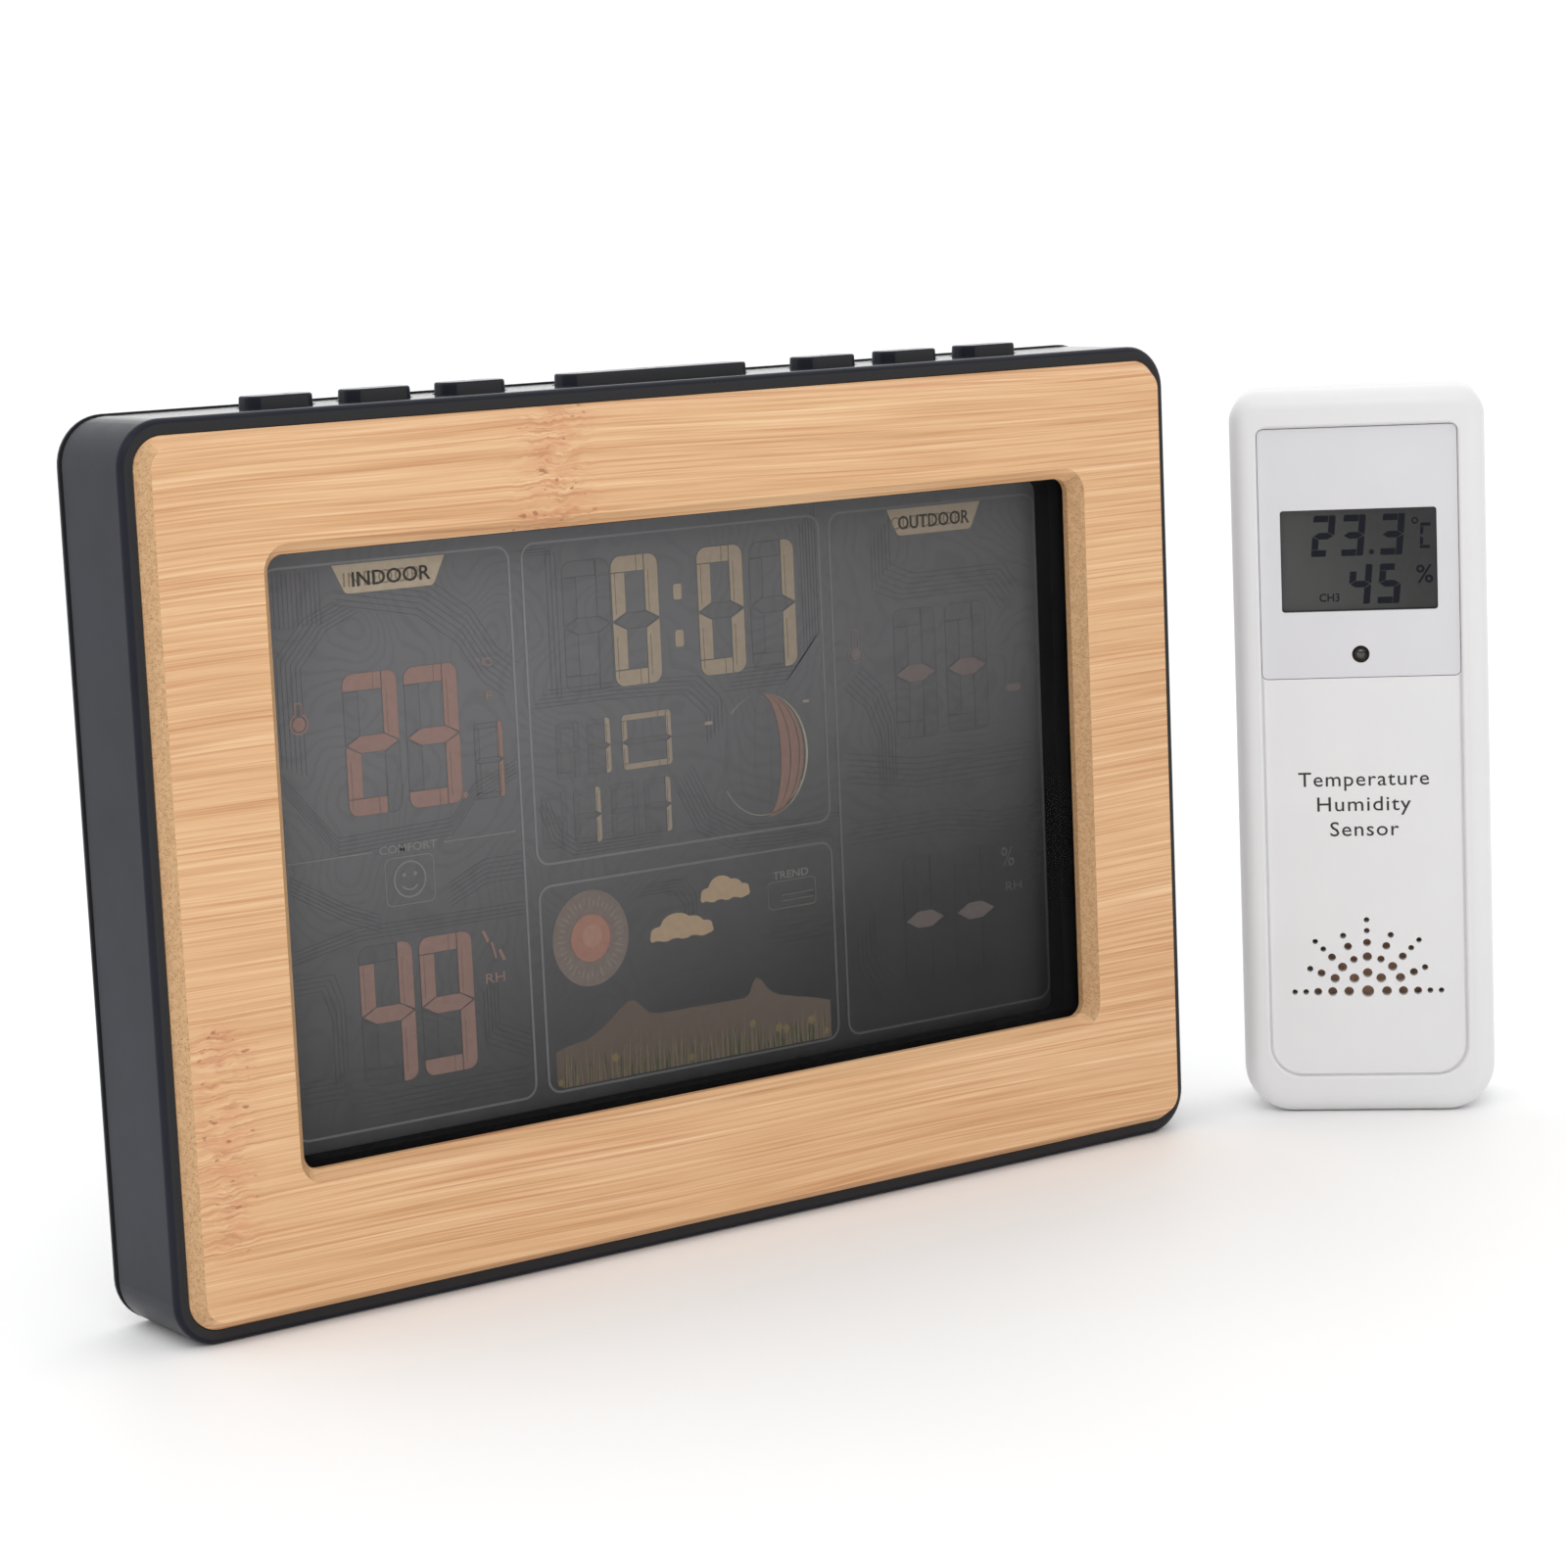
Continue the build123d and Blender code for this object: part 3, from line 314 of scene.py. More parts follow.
def ground_under_painted_reflection(name, share):
    """The display's ground under its painted reflection, with faint contour lines; share is its brightness
    beside it.
    """
    glass = Recipe(name)
    stops = [(0.0, 0.009), (0.35, 0.044), (0.7, 0.124), (1.0, 0.18)]
    tone = glass.ramp(painted_reflection(glass), [(at, (t * share, t * share, t * share * 1.04)) for at, t in stops])
    level = glass.math("FRACT", glass.math("MULTIPLY", glass.noise(0.045, 1.5), 30.0))
    away = glass.math("ABSOLUTE", glass.math("SUBTRACT", level, 0.5))
    line = glass.math("SUBTRACT", 1.0, glass.step(away, 0.1, 0.2))
    glass.set(
        Base_Color=glass.mix(glass.math("MULTIPLY", line, 0.07), tone, (0.0, 0.0, 0.0)),
        Roughness=glass.ramp(glass.noise(0.4, 2.0), [(0.3, 0.3), (0.7, 0.36)]), Specular_IOR_Level=0.18,
    )
    return glass.material


def display_ink(name, colour, painted_shade=0.0, painted_glow=0.0):
    """Lit or printed display matter; the third argument paints shade that darkens it towards the display's
    lower right, and the fourth adds a faint painted glow.
    """
    ink = Recipe(name)
    x, _, z = ink.axes()
    mottle = ink.noise(0.9, 3.0)
    low = tuple(c * 0.9 for c in colour)
    tone = ink.ramp(mottle, [(0.35, low), (0.65, colour)])
    # painted shade: the ink darkens towards the display's lower right
    if painted_shade:
        across = ink.step(x, *INK_SHADE_ACROSS)
        down = ink.math("SUBTRACT", 1.0, ink.step(z, *INK_SHADE_UP))
        factor = ink.math("MULTIPLY", ink.math("ADD", ink.math("MULTIPLY", across, 0.7), ink.math(
            "MULTIPLY", down, 0.45)), painted_shade, clamp=True)
        tone = ink.mix(factor, tone, (0.01, 0.01, 0.01))
    ink.set(Base_Color=tone, Roughness=ink.ramp(mottle, [(0.3, 0.4), (0.7, 0.5)]), Specular_IOR_Level=0.2)
    # painted glow: the ink gives off a faint light of its own colour
    if painted_glow:
        ink.set(Emission_Color=(*colour, 1.0), Emission_Strength=painted_glow)
    return ink.material


def clear_lens():
    """A thin clear window: mostly see-through, with a polished and slightly uneven face."""
    lens = Recipe("clear_lens")
    smear = lens.noise(0.08, 4.0)
    lens.set(
        Base_Color=lens.ramp(smear, [(0.3, (0.02, 0.021, 0.023)), (0.7, (0.035, 0.036, 0.04))]),
        Roughness=lens.ramp(smear, [(0.35, 0.04), (0.7, 0.09)]),
        Specular_IOR_Level=0.15,
        IOR=1.49,
        Alpha=0.06,
    )
    return lens


def metal(name, colour, rough):
    """Plated metal with fine drawn marks."""
    paint = Recipe(name)
    marks = paint.noise(3.0, 3.0, (0.2, 1.0, 1.0))
    dull = tuple(c * 0.82 for c in colour)
    paint.set(
        Base_Color=paint.ramp(marks, [(0.3, dull), (0.7, colour)]),
        Roughness=paint.ramp(marks, [(0.3, rough), (0.7, rough + 0.12)]), Metallic=1.0,
    )
    paint.bump(marks, 0.006, 0.5)
    return paint


def circuit_board(name, colour, track):
    """A circuit board with faint tracks under its coating."""
    board = Recipe(name)
    cells = board.add("ShaderNodeTexBrick", {
        "Vector": board.mm, "Scale": 0.35, "Mortar Size": 0.03, "Brick Width": 0.9, "Row Height": 0.3,
        "Color1": (0, 0, 0, 1), "Color2": (0.1, 0.1, 0.1, 1), "Mortar": (1, 1, 1, 1),
    }).outputs["Color"]
    tracks = board.math("MULTIPLY", cells, board.step(board.noise(0.15, 1.0), 0.45, 0.55))
    grain = board.ramp(board.noise(1.2, 3.0), [(0.3, tuple(c * 0.8 for c in colour)), (0.7, colour)])
    board.set(Base_Color=board.mix(tracks, grain, track), Roughness=0.38)
    board.bump(tracks, 0.03, 0.6)
    return board


def cell_jacket():
    """The cells' film: dark blue all over, with a slightly uneven gloss."""
    film = Recipe("cell_jacket")
    wear = film.noise(0.3, 3.0)
    film.set(
        Base_Color=film.ramp(wear, [(0.3, (0.02, 0.05, 0.09)), (0.7, (0.03, 0.075, 0.13))]),
        Roughness=film.ramp(wear, [(0.3, 0.22), (0.7, 0.34)]), Metallic=0.35,
    )
    film.bump(film.noise(1.5, 2.0), 0.01, 0.3)
    return film


def white_plastic(name, colour, rough):
    return moulded_plastic(name, colour, 0.015, rough, 2.8, 0.008)


SENSOR_PAINTED_SHADE = (143.0, 166.0)    # where painted shade darkens the sensor's ground, as x + 0.4 z in mm


def sensor_ground():
    """The sensor's liquid crystal ground: grey, with painted shade that darkens it towards its right."""
    glass = Recipe("sensor_ground")
    x, _, z = glass.axes()
    # painted shade: the ground darkens towards its right
    fall = glass.step(glass.math("ADD", x, glass.math("MULTIPLY", z, 0.4)), *SENSOR_PAINTED_SHADE)
    tone = glass.ramp(fall, [(0.0, (0.048, 0.050, 0.047)), (1.0, (0.006, 0.007, 0.006))])
    speckle = glass.math("MULTIPLY", glass.noise(3.0, 2.0), 0.1)
    glass.set(Base_Color=glass.mix(speckle, tone, (0.02, 0.02, 0.02)))
    glass.set(Roughness=glass.ramp(glass.noise(0.6, 2.0), [(0.3, 0.16), (0.7, 0.24)]))
    return glass


def lamp_dome():
    """The signal lamp: dark glass with a cloudy swirl and a clear coat."""
    dome = Recipe("lamp_dome")
    swirl = dome.noise(1.2, 3.0)
    dome.set(
        Base_Color=dome.ramp(swirl, [(0.35, (0.004, 0.004, 0.003)), (0.6, (0.035, 0.034, 0.028))]),
        Roughness=dome.ramp(swirl, [(0.3, 0.05), (0.7, 0.15)]), Coat_Weight=1.0, Coat_Roughness=0.03,
    )
    return dome


def floor_paint():
    paint = Recipe("studio_floor")
    tone = paint.noise(0.01, 3.0)
    paint.set(Base_Color=paint.ramp(tone, [(0.3, 0.96), (0.7, 0.98)]), Roughness=0.55, Specular_IOR_Level=0.2)
    return paint


case = charcoal().material
rough_case = charcoal("charcoal_button", 0.42, BUTTON_FRONT_PAINTED_LIGHT).material
steel = metal("plated_steel", (0.62, 0.6, 0.56), 0.24).material
green_board = circuit_board("green_board", (0.012, 0.11, 0.04), (0.03, 0.22, 0.08)).material
brown_board = circuit_board("brown_board", (0.88, 0.55, 0.36), (0.92, 0.66, 0.48)).material
black_part = moulded_plastic("black_epoxy", (0.012, 0.012, 0.013), 0.15, 0.45).material
black_frame = moulded_plastic("black_holder", (0.004, 0.004, 0.0045), 0.15, 0.7, specular=0.2).material
white_case = white_plastic("white_abs", (0.79, 0.79, 0.80), 0.4).material
white_gloss = white_plastic("white_plate", (0.70, 0.70, 0.73), 0.16).material
rubber = moulded_plastic("grey_silicone", (0.1, 0.1, 0.105), 0.1, 0.7).material
wire_jacket = moulded_plastic("wire_jacket", (0.5, 0.05, 0.04), 0.1, 0.4).material
acrylic = moulded_plastic("clear_acrylic", (0.75, 0.78, 0.8), 0.03, 0.1).material
cell_film = cell_jacket().material
mask_ink = display_ink("panel_line", (0.29, 0.29, 0.295), 0.7)

FINISHES = {
    "back_cover battery_door fold_out_stand": case,
    "front_housing": charcoal_housing().material,
    "button_left_outer button_left_middle button_left_inner button_snooze button_right_inner "
    "button_right_middle button_right_outer": rough_case,
    "wood_frame": bamboo().material,
    "display_lens": clear_lens().material,
    "lcd_panel": ground_under_painted_reflection("lcd_ground", 1.0),
    "lcd_holder": black_frame,
    "light_guide": acrylic,
    "main_board rf_module indoor_probe button_board backlight_strip": green_board,
    "zebra_strips": rubber,
    "holder_screws board_screws button_board_screws cover_screws battery_contacts stand_pins usb_inlet "
    "sensor_board_screws sensor_case_screws sensor_contacts": steel,
    "controller_chip buzzer tact_switches sensor_chip": black_part,
    "channel_switch transmit_switch channel_knob": black_part,
    "antenna_wire sensor_antenna button_ribbon": wire_jacket,
    "console_batteries sensor_batteries": cell_film,
    "sensor_front_shell sensor_back_shell sensor_battery_door": white_case,
    "sensor_probe transmit_button": white_case,
    "sensor_face_plate": white_gloss,
    "sensor_lcd": sensor_ground().material,
    "sensor_board": brown_board,
    "sensor_led": lamp_dome().material,
}


def dress_nodes():
    """Gives every CAD node its finish."""
    for names, material in FINISHES.items():
        for name in names.split():
            slots = frame["nodes"][name].data.materials
            slots.clear()
            slots.append(material)


dress_nodes()


# ------------------------------------------------------------------ flat artwork
def circle(u, v, radius, stretch=1.0, count=48, start=0.0, sweep=360.0):
    """Points of a round or oval arc, angles in degrees."""
    steps = count if sweep < 360.0 else count - 1
    angles = [math.radians(start + sweep * i / count) for i in range(steps + 1)]
    return [(u + radius * math.cos(a), v + radius * stretch * math.sin(a)) for a in angles]


CORNER_STEPS = 6


def rounded(u0, v0, u1, v1, radius, corners="abcd", count=CORNER_STEPS):
    """A rectangle whose named corners are round: a top left, b top right, c low right, d low left."""
    spots = {
        "c": (u1 - radius, v0 + radius, -90), "b": (u1 - radius, v1 - radius, 0),
        "a": (u0 + radius, v1 - radius, 90), "d": (u0 + radius, v0 + radius, 180),
    }
    square = {"c": (u1, v0), "b": (u1, v1), "a": (u0, v1), "d": (u0, v0)}
    points = []
    for corner in "cbad":
        if corner in corners:
            u, v, start = spots[corner]
            points += circle(u, v, radius, count=count, start=start, sweep=90.0)
        else:
            points.append(square[corner])
    return points


def stroke(points, width):
    """Quads along a polyline, mitred where it turns."""
    sides = []
    for i, point in enumerate(points):
        before = Vector(points[max(i - 1, 0)])
        after = Vector(points[min(i + 1, len(points) - 1)])
        here = Vector(point)
        ahead = (after - here).normalized() if (after - here).length else (here - before).normalized()
        behind = (here - before).normalized() if (here - before).length else ahead
        tangent = (ahead + behind).normalized()
        across = Vector((-tangent.y, tangent.x)) * (width / 2 / max(tangent.dot(ahead), 0.5))
        sides.append((here + across, here - across))
    return [
        [tuple(a[0]), tuple(b[0]), tuple(b[1]), tuple(a[1])]
        for a, b in zip(sides, sides[1:])
    ]


def raise_outline(mesh, outline, place, low, high):
    """A closed outline made a thin solid plate."""
    bottom = [mesh.verts.new(place(u, v, low)) for u, v in outline]
    top = [mesh.verts.new(place(u, v, high)) for u, v in outline]
    mesh.faces.new(bottom)
    mesh.faces.new(top[::-1])
    count = len(outline)
    for i in range(count):
        j = (i + 1) % count
        mesh.faces.new((bottom[i], top[i], top[j], bottom[j]))


def raise_ring(mesh, outer, inner, place, low, high):
    """The band between two loops of equal count made a thin solid."""
    loops = [
        [mesh.verts.new(place(u, v, w)) for u, v in loop]
        for loop, w in ((outer, low), (inner, low), (inner, high), (outer, high))
    ]
    count = len(outer)
    for a, b in zip(loops, loops[1:] + loops[:1]):
        for i in range(count):
            j = (i + 1) % count
            mesh.faces.new((a[i], a[j], b[j], b[i]))


def finish_piece(name, mesh, material, body):
    """Turns a bmesh into a named piece that rides on a body."""
    bmesh.ops.recalc_face_normals(mesh, faces=mesh.faces[:])
    data = bpy.data.meshes.new(name)
    mesh.to_mesh(data)
    mesh.free()
    piece = bpy.data.objects.new(name, data)
    bpy.context.collection.objects.link(piece)
    data.materials.append(material)
    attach(piece, body)


CAP_HEIGHT = 0.73       # of the built-in letters at size 1


# how far the back and the front of a plate of ink stand off their sheet, in mm
LINE_LAYER = {"low": 0.02, "high": 0.05}
SEGMENT_LAYER = {"low": 0.02, "high": 0.06}


class Sheet:
    """A flat face that artwork lies on: a place function, a body and a material slot, which is not used."""

    def __init__(self, place, body, slot):
        self.place = place
        self.body = body
        self.slot = slot

    def ink(self, name, material, outlines=(), rings=(), *, low, high):
        mesh = bmesh.new()
        for outline in outlines:
            raise_outline(mesh, outline, self.place, low, high)
        for outer, inner in rings:
            raise_ring(mesh, outer, inner, self.place, low, high)
        finish_piece(name, mesh, material, self.body)

    def write(self, name, material, lines, *, low, high, spacing=1.0, weight=0.0):
        """Lines of (text, u centre, v middle, cap height, width)."""
        mesh = bmesh.new()
        for text, u, v, cap, width in lines:
            curve = bpy.data.curves.new(name, "FONT")
            curve.body = text
            curve.space_character = spacing
            curve.offset = weight
            curve.resolution_u = 3
            curve.extrude = 0.5
            letters = bpy.data.objects.new(name + "_letters", curve)
            bpy.context.collection.objects.link(letters)
            bpy.context.view_layer.update()
            depsgraph = bpy.context.evaluated_depsgraph_get()
            raw = bpy.data.meshes.new_from_object(letters.evaluated_get(depsgraph))
            bpy.data.objects.remove(letters)
            bpy.data.curves.remove(curve)
            xs = [vert.co.x for vert in raw.vertices]
            middle = (max(xs) + min(xs)) / 2
            scale_u = width / (max(xs) - min(xs))
            scale_v = cap / CAP_HEIGHT
            for vert in raw.vertices:
                w = low if vert.co.z < 0 else high
                vert.co = self.place(u + (vert.co.x - middle) * scale_u, v - cap / 2 + vert.co.y * scale_v, w)
            mesh.from_mesh(raw)
            bpy.data.meshes.remove(raw)
        bmesh.ops.remove_doubles(mesh, verts=mesh.verts[:], dist=1e-7)
        finish_piece(name, mesh, material, self.body)


SEGMENTS = {
    "0": "abcdef", "1": "bc", "2": "abged", "3": "abgcd", "4": "fgbc", "5": "afgcd", "9": "abfgcd", " ": "",
}


def digit(letters, u, v, width, height, bar, gap=0.14, corner=1.6, lean=0.0):
    """Outlines of the named segments of one digit whose top left corner is (u, v)."""
    right = u + width
    low = v - height
    mid = v - height / 2
    half = bar / 2
    inner = right - bar - gap
    arc = circle(right - corner, v - corner, corner, count=CORNER_STEPS, start=0.0, sweep=90.0)
    shapes = {
        "a": rounded(u, v - bar, inner, v, corner, "a"),
        "d": rounded(u, low, inner, low + bar, corner, "d"),
        "b": [(right, mid + gap)] + arc + [(right - bar, v), (right - bar, mid + half + gap)],
        "c": [(right - bar, low)] + rounded(right - bar, low, right, mid, corner, "c")[:CORNER_STEPS + 1] + [
            (right, mid - gap), (right - bar, mid - half - gap)],
        "f": [(u, v - bar - gap), (u, mid + gap), (u + bar, mid + half + gap), (u + bar, v - bar - gap)],
        "e": [(u, mid - gap), (u, low + bar + gap), (u + bar, low + bar + gap), (u + bar, mid - half - gap)],
        "g": [
            (u + gap * 2, mid), (u + bar, mid + half), (right - bar, mid + half),
            (right - gap * 2, mid), (right - bar, mid - half), (u + bar, mid - half),
        ],
    }
    return [[(p + lean * (q - low), q) for p, q in shapes[letter]] for letter in letters]


display = Sheet(
    lambda u, v, w: Vector((u, LCD_FRONT - w, LCD_MID + v)) * MM, "console", "lcd_glass",
)

PAINTED_SHADOW_SHIFT = 1.4      # how far a painted shadow on the rear glass lies beside its mark, in mm
PAINTED_SHADOW_INSET = 0.27   # how far in from its left edge an upright's painted shadow lies, as a share of the bar

# the four framed fields: left, low, right, high
PANELS = [
    (-67.9, -38.9, -28.4, 41.3), (-26.2, -5.2, 26.2, 41.3),
    (-26.2, -38.9, 26.2, -8.4), (28.2, -38.9, 67.9, 41.3),
]


FRAME_HALF_LINE = 0.17


def display_frames():
    rings = []
    line = FRAME_HALF_LINE
    for u0, v0, u1, v1 in PANELS:
        rings.append((
            rounded(u0 - line, v0 - line, u1 + line, v1 + line, 2.2),
            rounded(u0 + line, v0 + line, u1 - line, v1 - line, 1.9),
        ))
    display.ink("display_frames", mask_ink, rings=rings, **LINE_LAYER)


def tag_outline(u0, u1, top, low):
    """A tag that hangs from its panel's top line: slanted sides and rounded lower corners."""
    slant = 1.6
    return [
        (u0, top), *circle(u0 + slant + 1.0, low + 1.0, 1.0, count=6, start=200.0, sweep=70.0),
        *circle(u1 - slant - 1.0, low + 1.0, 1.0, count=6, start=270.0, sweep=70.0), (u1, top),
    ]


def display_tags():
    tan = display_ink("tag_tan", (0.56, 0.465, 0.35), 0.6)
    outlines = [tag_outline(u, u + 18.1, 41.0, 36.9) for u in (-57.0, 39.2)]
    display.ink("display_tags", tan, outlines, **SEGMENT_LAYER)
    dark = display_ink("tag_letters", (0.06, 0.055, 0.05), 0.2)
    # painted shadow: a darker copy of the tag words, shifted sideways, stands for their shadow on the rear
    # glass
    painted_shadow = display_ink("tag_painted_shadow", (0.31, 0.255, 0.19), 0.6)
    words = [("INDOOR", -47.6, 38.9, 2.1, 12.6), ("OUTDOOR", 48.2, 38.9, 2.1, 13.8)]
    display.write("display_tag_letters", dark, words, low=0.06, high=0.08, weight=0.015)
    shifted = [(text, u - PAINTED_SHADOW_SHIFT, v, cap, width) for text, u, v, cap, width in words]
    display.write("display_tag_painted_shadow", painted_shadow, shifted, low=0.06, high=0.07)


class Digits:
    """Gathers the lit segments, the unlit ones and the faint painted shadows that the lit ones cast on the
    rear glass.
    """

    def __init__(self, edge=0.13):
        self.edge = edge
        self.lit = []
        self.off = []
        self.painted_shadow = []

    def add(self, letters, u, v, width, height, bar, **style):
        self.lit += digit(letters, u, v, width, height, bar, **style)
        self.off += digit([s for s in "abcdefg" if s not in letters], u, v, width, height, bar, **style)
        half = height / 2
        inner = u + width - bar
        uprights = {"f": (u, v), "e": (u, v - half), "b": (inner, v), "c": (inner, v - half)}
        # painted shadows: thin dark lines for the shadows that the lit segments cast on the rear glass
        for letter in letters:
            if letter in uprights:
                left, top = uprights[letter]
                left += bar * PAINTED_SHADOW_INSET
                self.painted_shadow += stroke([(left, top - bar), (left, top - half + bar * 0.5)], 0.09)
            elif letter != "g":
                top = v if letter == "a" else v - height + bar
                left = inner - PAINTED_SHADOW_SHIFT
                self.painted_shadow += stroke([(left, top), (left, top - bar)], 0.1)


def outlines_of(shapes, width):
    """Every shape's edge as a fine line."""
    return [quad for shape in shapes for quad in stroke(shape + shape[:1], width)]


def display_time():
    tan = display_ink("time_segments", (0.42, 0.35, 0.265), 0.5, 0.02)
    digits = Digits()
    for text, u in ((" ", -19.6), ("0", -11.2), ("0", 3.9), ("1", 13.3)):
        digits.add(SEGMENTS[text], u, 38.2, 8.1, 19.0, 2.3)
    colon = [rounded(-0.5, 31.0, 1.0, 33.3, 0.4), rounded(-0.5, 24.0, 1.0, 26.5, 0.4)]
    display.ink("display_time", tan, digits.lit + colon, **SEGMENT_LAYER)
    return digits


def display_date():
    tan = display_ink("date_segments", (0.40, 0.34, 0.27), 0.5)
    digits = Digits(edge=0.07)
    for text, u, v, width in (
        ("1", -16.6, 15.0, 3.9), ("0", -10.6, 15.0, 8.6), (" ", -22.0, 15.0, 3.9),
        ("1", -19.5, 5.1, 4.6), ("1", -7.2, 5.1, 4.6), (" ", -13.0, 5.1, 4.6), (" ", -25.0, 5.1, 4.2),
    ):
        digits.add(SEGMENTS[text], u, v, width, 8.1, 0.85, gap=0.1, corner=0.6)
    marks = [rounded(4.0, 11.9, 5.4, 12.4, 0.2), rounded(22.0, 13.3, 23.2, 13.7, 0.18)]
    display.ink("display_date", tan, digits.lit + marks, **SEGMENT_LAYER)
    return digits


def lune(centre, radii, inner, outer, start=-90.0, sweep=180.0):
    """A slice of the moon between two meridians, given as fractions of its half width."""
    count = 30
    angles = [math.radians(start + sweep * i / count) for i in range(count + 1)]
    u, v = centre
    edge = [(u + outer * radii[0] * math.cos(a), v + radii[1] * math.sin(a)) for a in angles]
    back = [(u + inner * radii[0] * math.cos(a), v + radii[1] * math.sin(a)) for a in reversed(angles[1:-1])]
    return edge + back


def display_moon():
    centre, radii = (14.3, 6.1), (8.3, 9.4)
    rose = display_ink("moon_rose", (0.31, 0.205, 0.17), 0.35)
    pale = display_ink("moon_edge", (0.42, 0.39, 0.30), 0.35)
    spans = ((0.40, 0.60), (0.62, 0.80), (0.82, 0.90))
    slices = [lune(centre, radii, inner, outer) for inner, outer in spans]
    display.ink("display_moon", rose, slices, **SEGMENT_LAYER)
    rim = [
        lune(centre, radii, 0.955, 1.0, -82.0, 164.0), lune(centre, radii, -0.97, -1.0, 48.0, 40.0),
        *stroke(circle(*centre, 7.9, 9.4 / 8.3, start=-150.0, sweep=120.0), 0.1),
    ]
    display.ink("display_moon_edge", pale, rim, **SEGMENT_LAYER)
    return [lune(centre, radii, inner, inner - 0.02) for inner in (0.2, -0.15, -0.5, -0.8)]


def display_indoor():
    rose = display_ink("indoor_segments", (0.345, 0.225, 0.195), 0.5, 0.01)
    digits = Digits()
    for text, u, v in (("2", -56.4, 25.7), ("3", -46.6, 25.7), ("4", -56.4, -12.9), ("9", -46.6, -12.9)):
        digits.add(SEGMENTS[text], u, v, 8.6, 20.0, 2.35, corner=1.5)
    digits.add("bc", -35.6, 16.5, 4.6, 10.8, 0.75, gap=0.1, corner=0.3)
    marks = [
        circle(-63.5, 19.6, 0.95), rounded(-38.0, 6.2, -37.2, 7.0, 0.2),
        *stroke([(-36.0, -13.3), (-35.2, -15.0)], 0.5), *stroke([(-34.6, -15.2), (-34.0, -17.6)], 0.35),
        *stroke([(-33.4, -16.4), (-32.6, -18.0)], 0.5),
    ]
    rings = [
        (circle(-63.5, 19.6, 1.5, start=115.0, sweep=310.0) + [(-62.9, 22.6), (-64.1, 22.6)],
         circle(-63.5, 19.6, 1.25, start=112.0, sweep=316.0) + [(-63.1, 22.4), (-63.9, 22.4)]),
    ]
    display.ink("display_indoor", rose, digits.lit + marks, rings, **SEGMENT_LAYER)
    display.write("display_units", rose, [
        ("°C", -33.4, 25.2, 1.2, 2.6), ("°F", -33.4, 20.4, 1.2, 2.2), ("RH", -34.3, -20.3, 1.5, 3.2),
    ], **SEGMENT_LAYER)
    return digits


def display_comfort():
    pale = display_ink("comfort_line", (0.27, 0.265, 0.25), 0.4)
    face_u, face_v = -47.4, -4.2
    rings = [
        (circle(face_u, face_v, 2.65), circle(face_u, face_v, 2.4)),
        (rounded(face_u - 4.0, -7.8, face_u + 4.0, -0.9, 1.0),
         rounded(face_u - 3.88, -7.68, face_u + 3.88, -1.02, 0.9)),
    ]
    mouth = circle(face_u, face_v, 1.5, count=10, start=215.0, sweep=110.0)
    marks = [circle(face_u + du, face_v + 0.7, 0.3, count=16) for du in (-0.9, 0.9)]
    marks += stroke(mouth, 0.25)
    marks += [rounded(-66.6, 0.25, -53.2, 0.42, 0.05), rounded(-41.5, 0.25, -29.6, 0.42, 0.05)]
    display.ink("display_comfort", pale, marks, rings, **LINE_LAYER)
    display.write("display_small_letters", pale, [
        ("COMFORT", -47.4, 0.4, 1.2, 9.4), ("TREND", 18.4, -12.3, 1.2, 6.6),
    ], **LINE_LAYER, weight=0.012)


def display_outdoor():
    dim = display_ink("outdoor_segments", (0.27, 0.225, 0.215), 0.55)
    digits = Digits()
    for u, v in ((39.7, 25.6), (49.7, 25.6), (39.7, -12.9), (49.7, -12.9)):
        digits.add("g", u, v, 7.9, 20.0, 2.6, corner=1.5)
    marks = [rounded(61.4, 10.8, 64.2, 11.9, 0.5), circle(32.3, 19.6, 0.9, count=24)]
    rings = [
        (circle(32.3, 19.6, 1.45, start=115.0, sweep=310.0) + [(32.9, 23.4), (31.7, 23.4)],
         circle(32.3, 19.6, 1.25, start=112.0, sweep=316.0) + [(32.7, 23.2), (31.9, 23.2)]),
    ]
    display.ink("display_outdoor", dim, digits.lit + marks, rings, **SEGMENT_LAYER)
    faint = display_ink("outdoor_units", (0.12, 0.115, 0.11), 0.3)
    units = [("%", 60.4, -15.2, 3.2, 2.6), ("RH", 61.4, -20.0, 1.5, 3.2)]
    display.write("display_outdoor_units", faint, units, **LINE_LAYER)
    return digits


def cloud(u, v, width, height):
    """A flat-bottomed cloud: the upper envelope of four round puffs."""
    puffs = [(0.14, 0.30, 0.14), (0.42, 0.52, 0.25), (0.66, 0.44, 0.19), (0.87, 0.30, 0.13)]
    count = 40
    top = []
    for i in range(count + 1):
        t = i / count
        best = 0.12
        for centre, base, radius in puffs:
            reach = radius * radius - (t - centre) ** 2
            if reach > 0:
                best = max(best, base + math.sqrt(reach) * 1.9)
        top.append((u + width * t, v + height * min(best, 1.0)))
    low = [(u + width * (0.97 - 0.94 * i / 12), v + height * 0.05 * math.cos(i * 1.7)) for i in range(13)]
    return top[::-1] + low[::-1]


HILL_CREST = [
    (-24.8, -33.0), (-22.6, -32.4), (-19.5, -32.0), (-16.6, -30.6), (-13.9, -28.6), (-12.0, -27.4),
    (-10.8, -27.3), (-9.6, -28.4), (-8.3, -29.6), (-6.5, -30.0), (0.0, -30.0), (8.9, -30.1), (9.8, -29.6),
    (10.5, -28.0), (11.2, -27.2), (12.1, -27.7), (13.4, -29.4), (15.0, -30.4), (18.6, -31.3), (22.0, -32.0),
    (24.8, -32.8),
]


